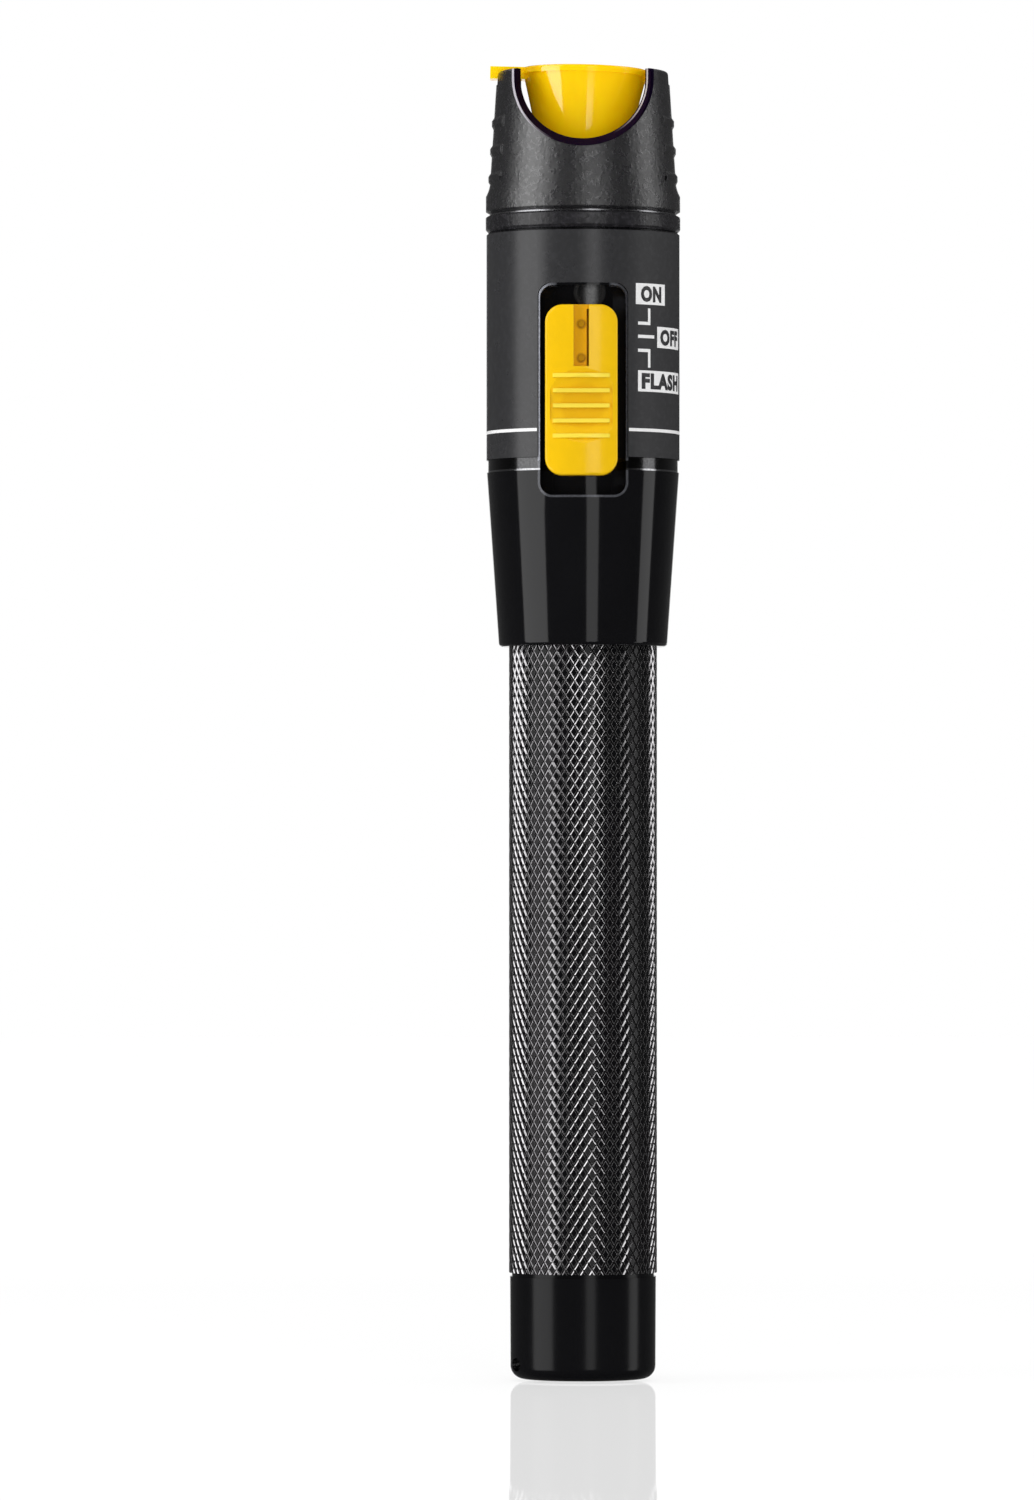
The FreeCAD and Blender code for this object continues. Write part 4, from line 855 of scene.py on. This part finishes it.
class PEN_OT_tube(bpy.types.Operator):
    """Knurl the battery tube with real diamonds and close it with its neck and bores"""
    bl_idname = "pen.tube"
    bl_label = "Knurled tube"

    def execute(self, context):
        knurl, same = context.scene.pen_knurl, 0.01 * MM
        foot, top = low("battery_tube").z, high("battery_tube").z
        shoulder, crest = low("front_body").z, high("battery_tube").x
        step = (shoulder - foot) / (knurl.rows - 0.5)
        tile = diamond(knurl.starts, 2 * step, crest, crest - knurl.depth, knurl.land)
        context.scene.collection.objects.link(tile)
        mesh = run_tree(knurl_tree(finish_of("tube_metal")), {
            "Diamond": tile, "Starts": knurl.starts, "Rows": knurl.rows + 1,
            "First row": foot - step / 4, "Row step": step})
        bpy.data.objects.remove(tile)
        bm = bmesh.new()
        bm.from_mesh(mesh)
        bmesh.ops.remove_doubles(bm, verts=bm.verts, dist=same)
        for level, out in ((foot, -1), (shoulder, 1)):
            bmesh.ops.bisect_plane(
                bm, geom=bm.verts[:] + bm.edges[:] + bm.faces[:], dist=1e-7,
                plane_co=(0, 0, level), plane_no=(0, 0, out), clear_outer=True)
        walls(bm, shoulder, [(knurl.neck, shoulder), (knurl.neck, top)])
        bore_end = foot + knurl.tail_bore_depth
        walls(bm, foot, [(knurl.tail_bore, foot), (knurl.tail_bore, bore_end),
                         (knurl.bore, bore_end), (knurl.bore, top), (knurl.neck, top)])
        bmesh.ops.remove_doubles(bm, verts=bm.verts, dist=same)
        bmesh.ops.recalc_face_normals(bm, faces=bm.faces[:])
        bm.to_mesh(mesh)
        bm.free()
        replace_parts(kept("knurled_tube", mesh, "tube_metal"), "battery_tube")
        return {"FINISHED"}


def wrapped(mesh, radius, thick):
    """Bend a flat mesh, X across and Z up, round the pen, and give it the print's thickness."""
    bm = bmesh.new()
    bm.from_mesh(mesh)
    longest = 0.5 * MM
    while long_edges := [edge for edge in bm.edges if edge.calc_length() > longest]:
        bmesh.ops.subdivide_edges(bm, edges=long_edges, cuts=1)
    bmesh.ops.triangulate(bm, faces=bm.faces[:])
    back = bmesh.ops.extrude_face_region(bm, geom=bm.faces[:])["geom"]
    lifted = {vert for vert in back if isinstance(vert, bmesh.types.BMVert)}
    for vert in bm.verts:
        reach = radius + (thick if vert in lifted else 0.0)
        turn = vert.co.x / radius
        vert.co = (reach * math.sin(turn), -reach * math.cos(turn), vert.co.z)
    bmesh.ops.recalc_face_normals(bm, faces=bm.faces[:])
    bm.to_mesh(mesh)
    bm.free()
    return mesh


def panes(boxes):
    """Flat mesh of rectangles, each (left, right, low, high)."""
    mesh = bpy.data.meshes.new("panes")
    verts = [(across, 0, up) for left, right, down, top in boxes
             for across, up in ((left, down), (right, down), (right, top), (left, top))]
    faces = [tuple(range(first, first + 4)) for first in range(0, len(verts), 4)]
    mesh.from_pydata(verts, [], faces)
    return mesh


def lettering(text, height, width, left, centre):
    """Flat mesh of a word, scaled to a height and width, with its left edge and middle placed."""
    curve = bpy.data.curves.new(text, "FONT")
    curve.body = text
    curve.offset = 0.055
    curve.space_character = 1.12
    curve.resolution_u = 3
    word = bpy.data.objects.new(text, curve)
    bpy.context.scene.collection.objects.link(word)
    mesh = plain_mesh(word)
    across = [vert.co.x for vert in mesh.vertices]
    up = [vert.co.y for vert in mesh.vertices]
    wide, tall = width / (max(across) - min(across)), height / (max(up) - min(up))
    middle = (max(up) + min(up)) / 2
    for vert in mesh.vertices:
        vert.co = (left + (vert.co.x - min(across)) * wide, 0,
                   centre + (vert.co.y - middle) * tall)
    return mesh


# Word, left edge and width of its box, height above the switch's middle, share that it fills
MARKS = (("ON", 7.4 * MM, 5.5 * MM, 12.85 * MM, 0.7),
         ("OFF", 11.2 * MM, 6.6 * MM, 7.2 * MM, 0.8),
         ("FLASH", 7.75 * MM, 10.2 * MM, 1.3 * MM, 0.88))
STRIPE_GAP = 6.35 * MM
ARM, ELBOW, ARM_END = 7.75 * MM, 9.65 * MM, 10.6 * MM
ARM_RISE, ARM_DROP, TOP_GAP, BASE_GAP = 1.75 * MM, 1.85 * MM, 0.5 * MM, 0.4 * MM


class PEN_OT_print(bpy.types.Operator):
    """Print the stripe and the marks of the switch on the label"""
    bl_idname = "pen.print"
    bl_label = "Label print"

    def execute(self, context):
        sizes = context.scene.pen_label
        label = high("label").x
        middle = (low("switch_lever").z + high("switch_lever").z) / 2
        half, half_tag = sizes.line / 2, sizes.tag / 2
        around, stripe = 2 * math.pi * label, low("label").z + sizes.stripe
        boxes = [(STRIPE_GAP, around - STRIPE_GAP, stripe - half, stripe + half)]
        boxes += [(left, left + wide, middle + rise - half_tag, middle + rise + half_tag)
                  for word, left, wide, rise, fill in MARKS]
        top, centre, base = (middle + rise for word, left, wide, rise, fill in MARKS)
        upper, lower = centre + ARM_RISE, centre - ARM_DROP
        boxes += [
            (ARM, ELBOW + half, upper - half, upper + half),
            (ELBOW - half, ELBOW + half, upper + half, top - half_tag - TOP_GAP),
            (ARM, ARM_END, centre - half, centre + half),
            (ARM, ELBOW + half, lower - half, lower + half),
            (ELBOW - half, ELBOW + half, base + half_tag + BASE_GAP, lower - half),
        ]
        kept("label_marks", wrapped(panes(boxes), label, sizes.ink), "label_film", "white_ink")
        for word, left, wide, rise, fill in MARKS:
            start = left + wide * (1 - fill) / 2
            flat = lettering(word, sizes.letter, wide * fill, start, middle + rise)
            kept("mark_" + word.lower(), wrapped(flat, label + sizes.ink, sizes.ink),
                 "label_film", "black_ink")
        return {"FINISHED"}


def seen_as(tree, *kinds):
    """Socket that is 1 for the given kinds of ray."""
    path = tree.nodes.new("ShaderNodeLightPath")
    total = path.outputs[kinds[0]]
    for kind in kinds[1:]:
        total = plus(tree, total, path.outputs[kind], clamp=True)
    return total


def mixed(tree, share, first, second):
    """Mix of two shaders by a value or a socket."""
    mix = tree.nodes.new("ShaderNodeMixShader")
    feed(tree, share, mix.inputs["Fac"])
    tree.links.new(first, mix.inputs[1])
    tree.links.new(second, mix.inputs[2])
    return mix.outputs[0]


def white_floor():
    """Pale floor: white to the camera, with the pen's shadow, a painted shade near the pen and a
    faint mirror image.
    """
    grey, seen_grey, mirror_share = (0.8, 0.8, 0.8), (0.3, 0.3, 0.3), 0.35
    near, fade, painted_shade_depth = 0.8, 2.0, 0.13
    made, tree, shader = plain("Floor", grey, rough=0.9, gloss=0.0)
    seen = seen_as(tree, "Is Camera Ray")
    tinted(tree, shader, seen, grey, seen_grey)
    # Painted shade: the floor's glow is dimmed by up to 13 % within 0.8 m of the pen.
    close = times(tree, minus(tree, near, reach_of(tree, object_point(tree))), fade, clamp=True)
    level = minus(tree, 1.0, times(tree, close, painted_shade_depth))
    glow = tree.nodes.new("ShaderNodeEmission")
    tree.links.new(times(tree, seen, level), glow.inputs["Strength"])
    add = tree.nodes.new("ShaderNodeAddShader")
    tree.links.new(shader.outputs[0], add.inputs[0])
    tree.links.new(glow.outputs[0], add.inputs[1])
    mirror = tree.nodes.new("ShaderNodeBsdfGlossy")
    mirror.inputs["Roughness"].default_value = 0.03
    clear = tree.nodes.new("ShaderNodeBsdfTransparent")
    solid = mixed(tree, mirror_share, add.outputs[0], mirror.outputs[0])
    passed = seen_as(tree, "Is Glossy Ray", "Is Shadow Ray")
    tree.links.new(mixed(tree, passed, solid, clear.outputs[0]),
                   tree.nodes["Material Output"].inputs["Surface"])
    return made


def studio_world(scene):
    """World: white to the camera, through glass and behind the pen in gloss; else a dim room."""
    straight_back, diffuse, dark, back_wall = 0.975, 0.36, 0.015, 0.08
    world = bpy.data.worlds.new("Studio")
    scene.world = world
    world.use_nodes = True
    tree = world.node_tree
    back = tree.nodes["Background"]
    back.inputs["Color"].default_value = (1, 1, 1, 1)
    split = tree.nodes.new("ShaderNodeSeparateXYZ")
    place = tree.nodes.new("ShaderNodeTexCoord")
    tree.links.new(place.outputs["Generated"], split.inputs[0])
    deep = split.outputs["Y"]
    behind = maths(tree, "GREATER_THAN", deep, straight_back)
    sheen = times(tree, behind, seen_as(tree, "Is Glossy Ray"))
    white = maths(tree, "MAXIMUM", seen_as(tree, "Is Camera Ray", "Is Transmission Ray"), sheen)
    dim = plus(tree, times(tree, seen_as(tree, "Is Diffuse Ray"), diffuse), dark)
    room = plus(tree, dim, times(tree, maths(tree, "MAXIMUM", deep, 0.0), back_wall))
    tree.links.new(maths(tree, "MAXIMUM", white, room), back.inputs["Strength"])


# Name, azimuth from the front in degrees, distance, height, width and height of its face,
# brightness, and whether gloss shows it
LAMPS = (("left softbox", -67, 0.6, 0.2, (0.42, 0.9), 2.0, True),
         ("front strip", 12, 0.9, 0.2, (0.24, 0.9), 1.5, True),
         ("right strip", 87, 0.6, 0.2, (0.2, 0.9), 1.6, True),
         ("low left", -60, 1.0, -0.2, (0.7, 0.5), 1.9, False),
         ("low front", 0, 1.0, -0.2, (0.7, 0.5), 2.1, False),
         ("low right", 60, 1.0, -0.2, (0.7, 0.5), 1.9, False),
         ("rear top", 180, 0.5, 0.9, (1.2, 0.5), 1.2, True),
         ("top key", 6, 1.0, 1.2, (1.0, 0.7), 2.2, False))
AIM = Vector((0, 0, 0.1))
FLOOR_HALF, FLOOR_GAP = 3, 0.3 * MM


def soft_box(name, azimuth, distance, height, size, level, in_gloss):
    """Area lamp aimed at the pen, as one row of the list of lamps says."""
    lamp = bpy.data.lights.new(name, "AREA")
    lamp.shape = "RECTANGLE"
    lamp.size, lamp.size_y = size
    lamp.energy = level * size[0] * size[1] * math.pi
    box = bpy.data.objects.new(name, lamp)
    turn = math.radians(azimuth)
    box.location = (distance * math.sin(turn), -distance * math.cos(turn), height)
    box.rotation_euler = (AIM - box.location).to_track_quat("-Z", "Y").to_euler()
    box.visible_camera = False
    box.visible_glossy = in_gloss
    bpy.context.scene.collection.objects.link(box)


class PEN_OT_studio(bpy.types.Operator):
    """Build the floor, the soft lights, the world and the camera"""
    bl_idname = "pen.studio"
    bl_label = "Studio"

    def execute(self, context):
        scene = context.scene
        sizes = scene.pen_stage
        scene.view_settings.view_transform = "Standard"
        studio_world(scene)
        mesh = panes([(-FLOOR_HALF, FLOOR_HALF, -FLOOR_HALF, FLOOR_HALF)])
        mesh.transform(Matrix.Rotation(-math.pi / 2, 4, "X"))
        mesh.transform(Matrix.Translation((0, 0, -FLOOR_GAP)))
        mesh.materials.append(white_floor())
        floor = bpy.data.objects.new("floor", mesh)
        scene.collection.objects.link(floor)
        for lamp in LAMPS:
            soft_box(*lamp)
        lens = bpy.data.cameras.new("camera")
        lens.lens = sizes.lens
        lens.shift_x, lens.shift_y = sizes.shift_x, sizes.shift_y
        camera = bpy.data.objects.new("camera", lens)
        camera.location = (0, -sizes.distance, sizes.eye)
        camera.rotation_euler = (math.pi / 2, 0, 0)
        scene.collection.objects.link(camera)
        scene.camera = camera
        return {"FINISHED"}


class PEN_PT_panel(bpy.types.Panel):
    """Steps that finish the pen"""
    bl_label = "Fault locator pen"
    bl_idname = "PEN_PT_panel"
    bl_space_type = "VIEW_3D"
    bl_region_type = "UI"
    bl_category = "Pen"

    def draw(self, context):
        for step in STEPS:
            self.layout.operator(step.bl_idname)


STEPS = (PEN_OT_finishes, PEN_OT_tube, PEN_OT_print, PEN_OT_studio)
SETTINGS = {"pen_knurl": PenKnurl, "pen_label": PenLabel, "pen_colours": PenColours,
            "pen_stage": PenStage}


def register():
    for kind in (*SETTINGS.values(), *STEPS, PEN_PT_panel):
        bpy.utils.register_class(kind)
    for name, kind in SETTINGS.items():
        setattr(bpy.types.Scene, name, bpy.props.PointerProperty(type=kind))


def unregister():
    for name in SETTINGS:
        delattr(bpy.types.Scene, name)
    for kind in reversed((*SETTINGS.values(), *STEPS, PEN_PT_panel)):
        bpy.utils.unregister_class(kind)


def main():
    register()
    bpy.ops.pen.finishes()
    bpy.ops.pen.tube()
    bpy.ops.pen.print()
    bpy.ops.pen.studio()


if __name__ == "__main__":
    main()
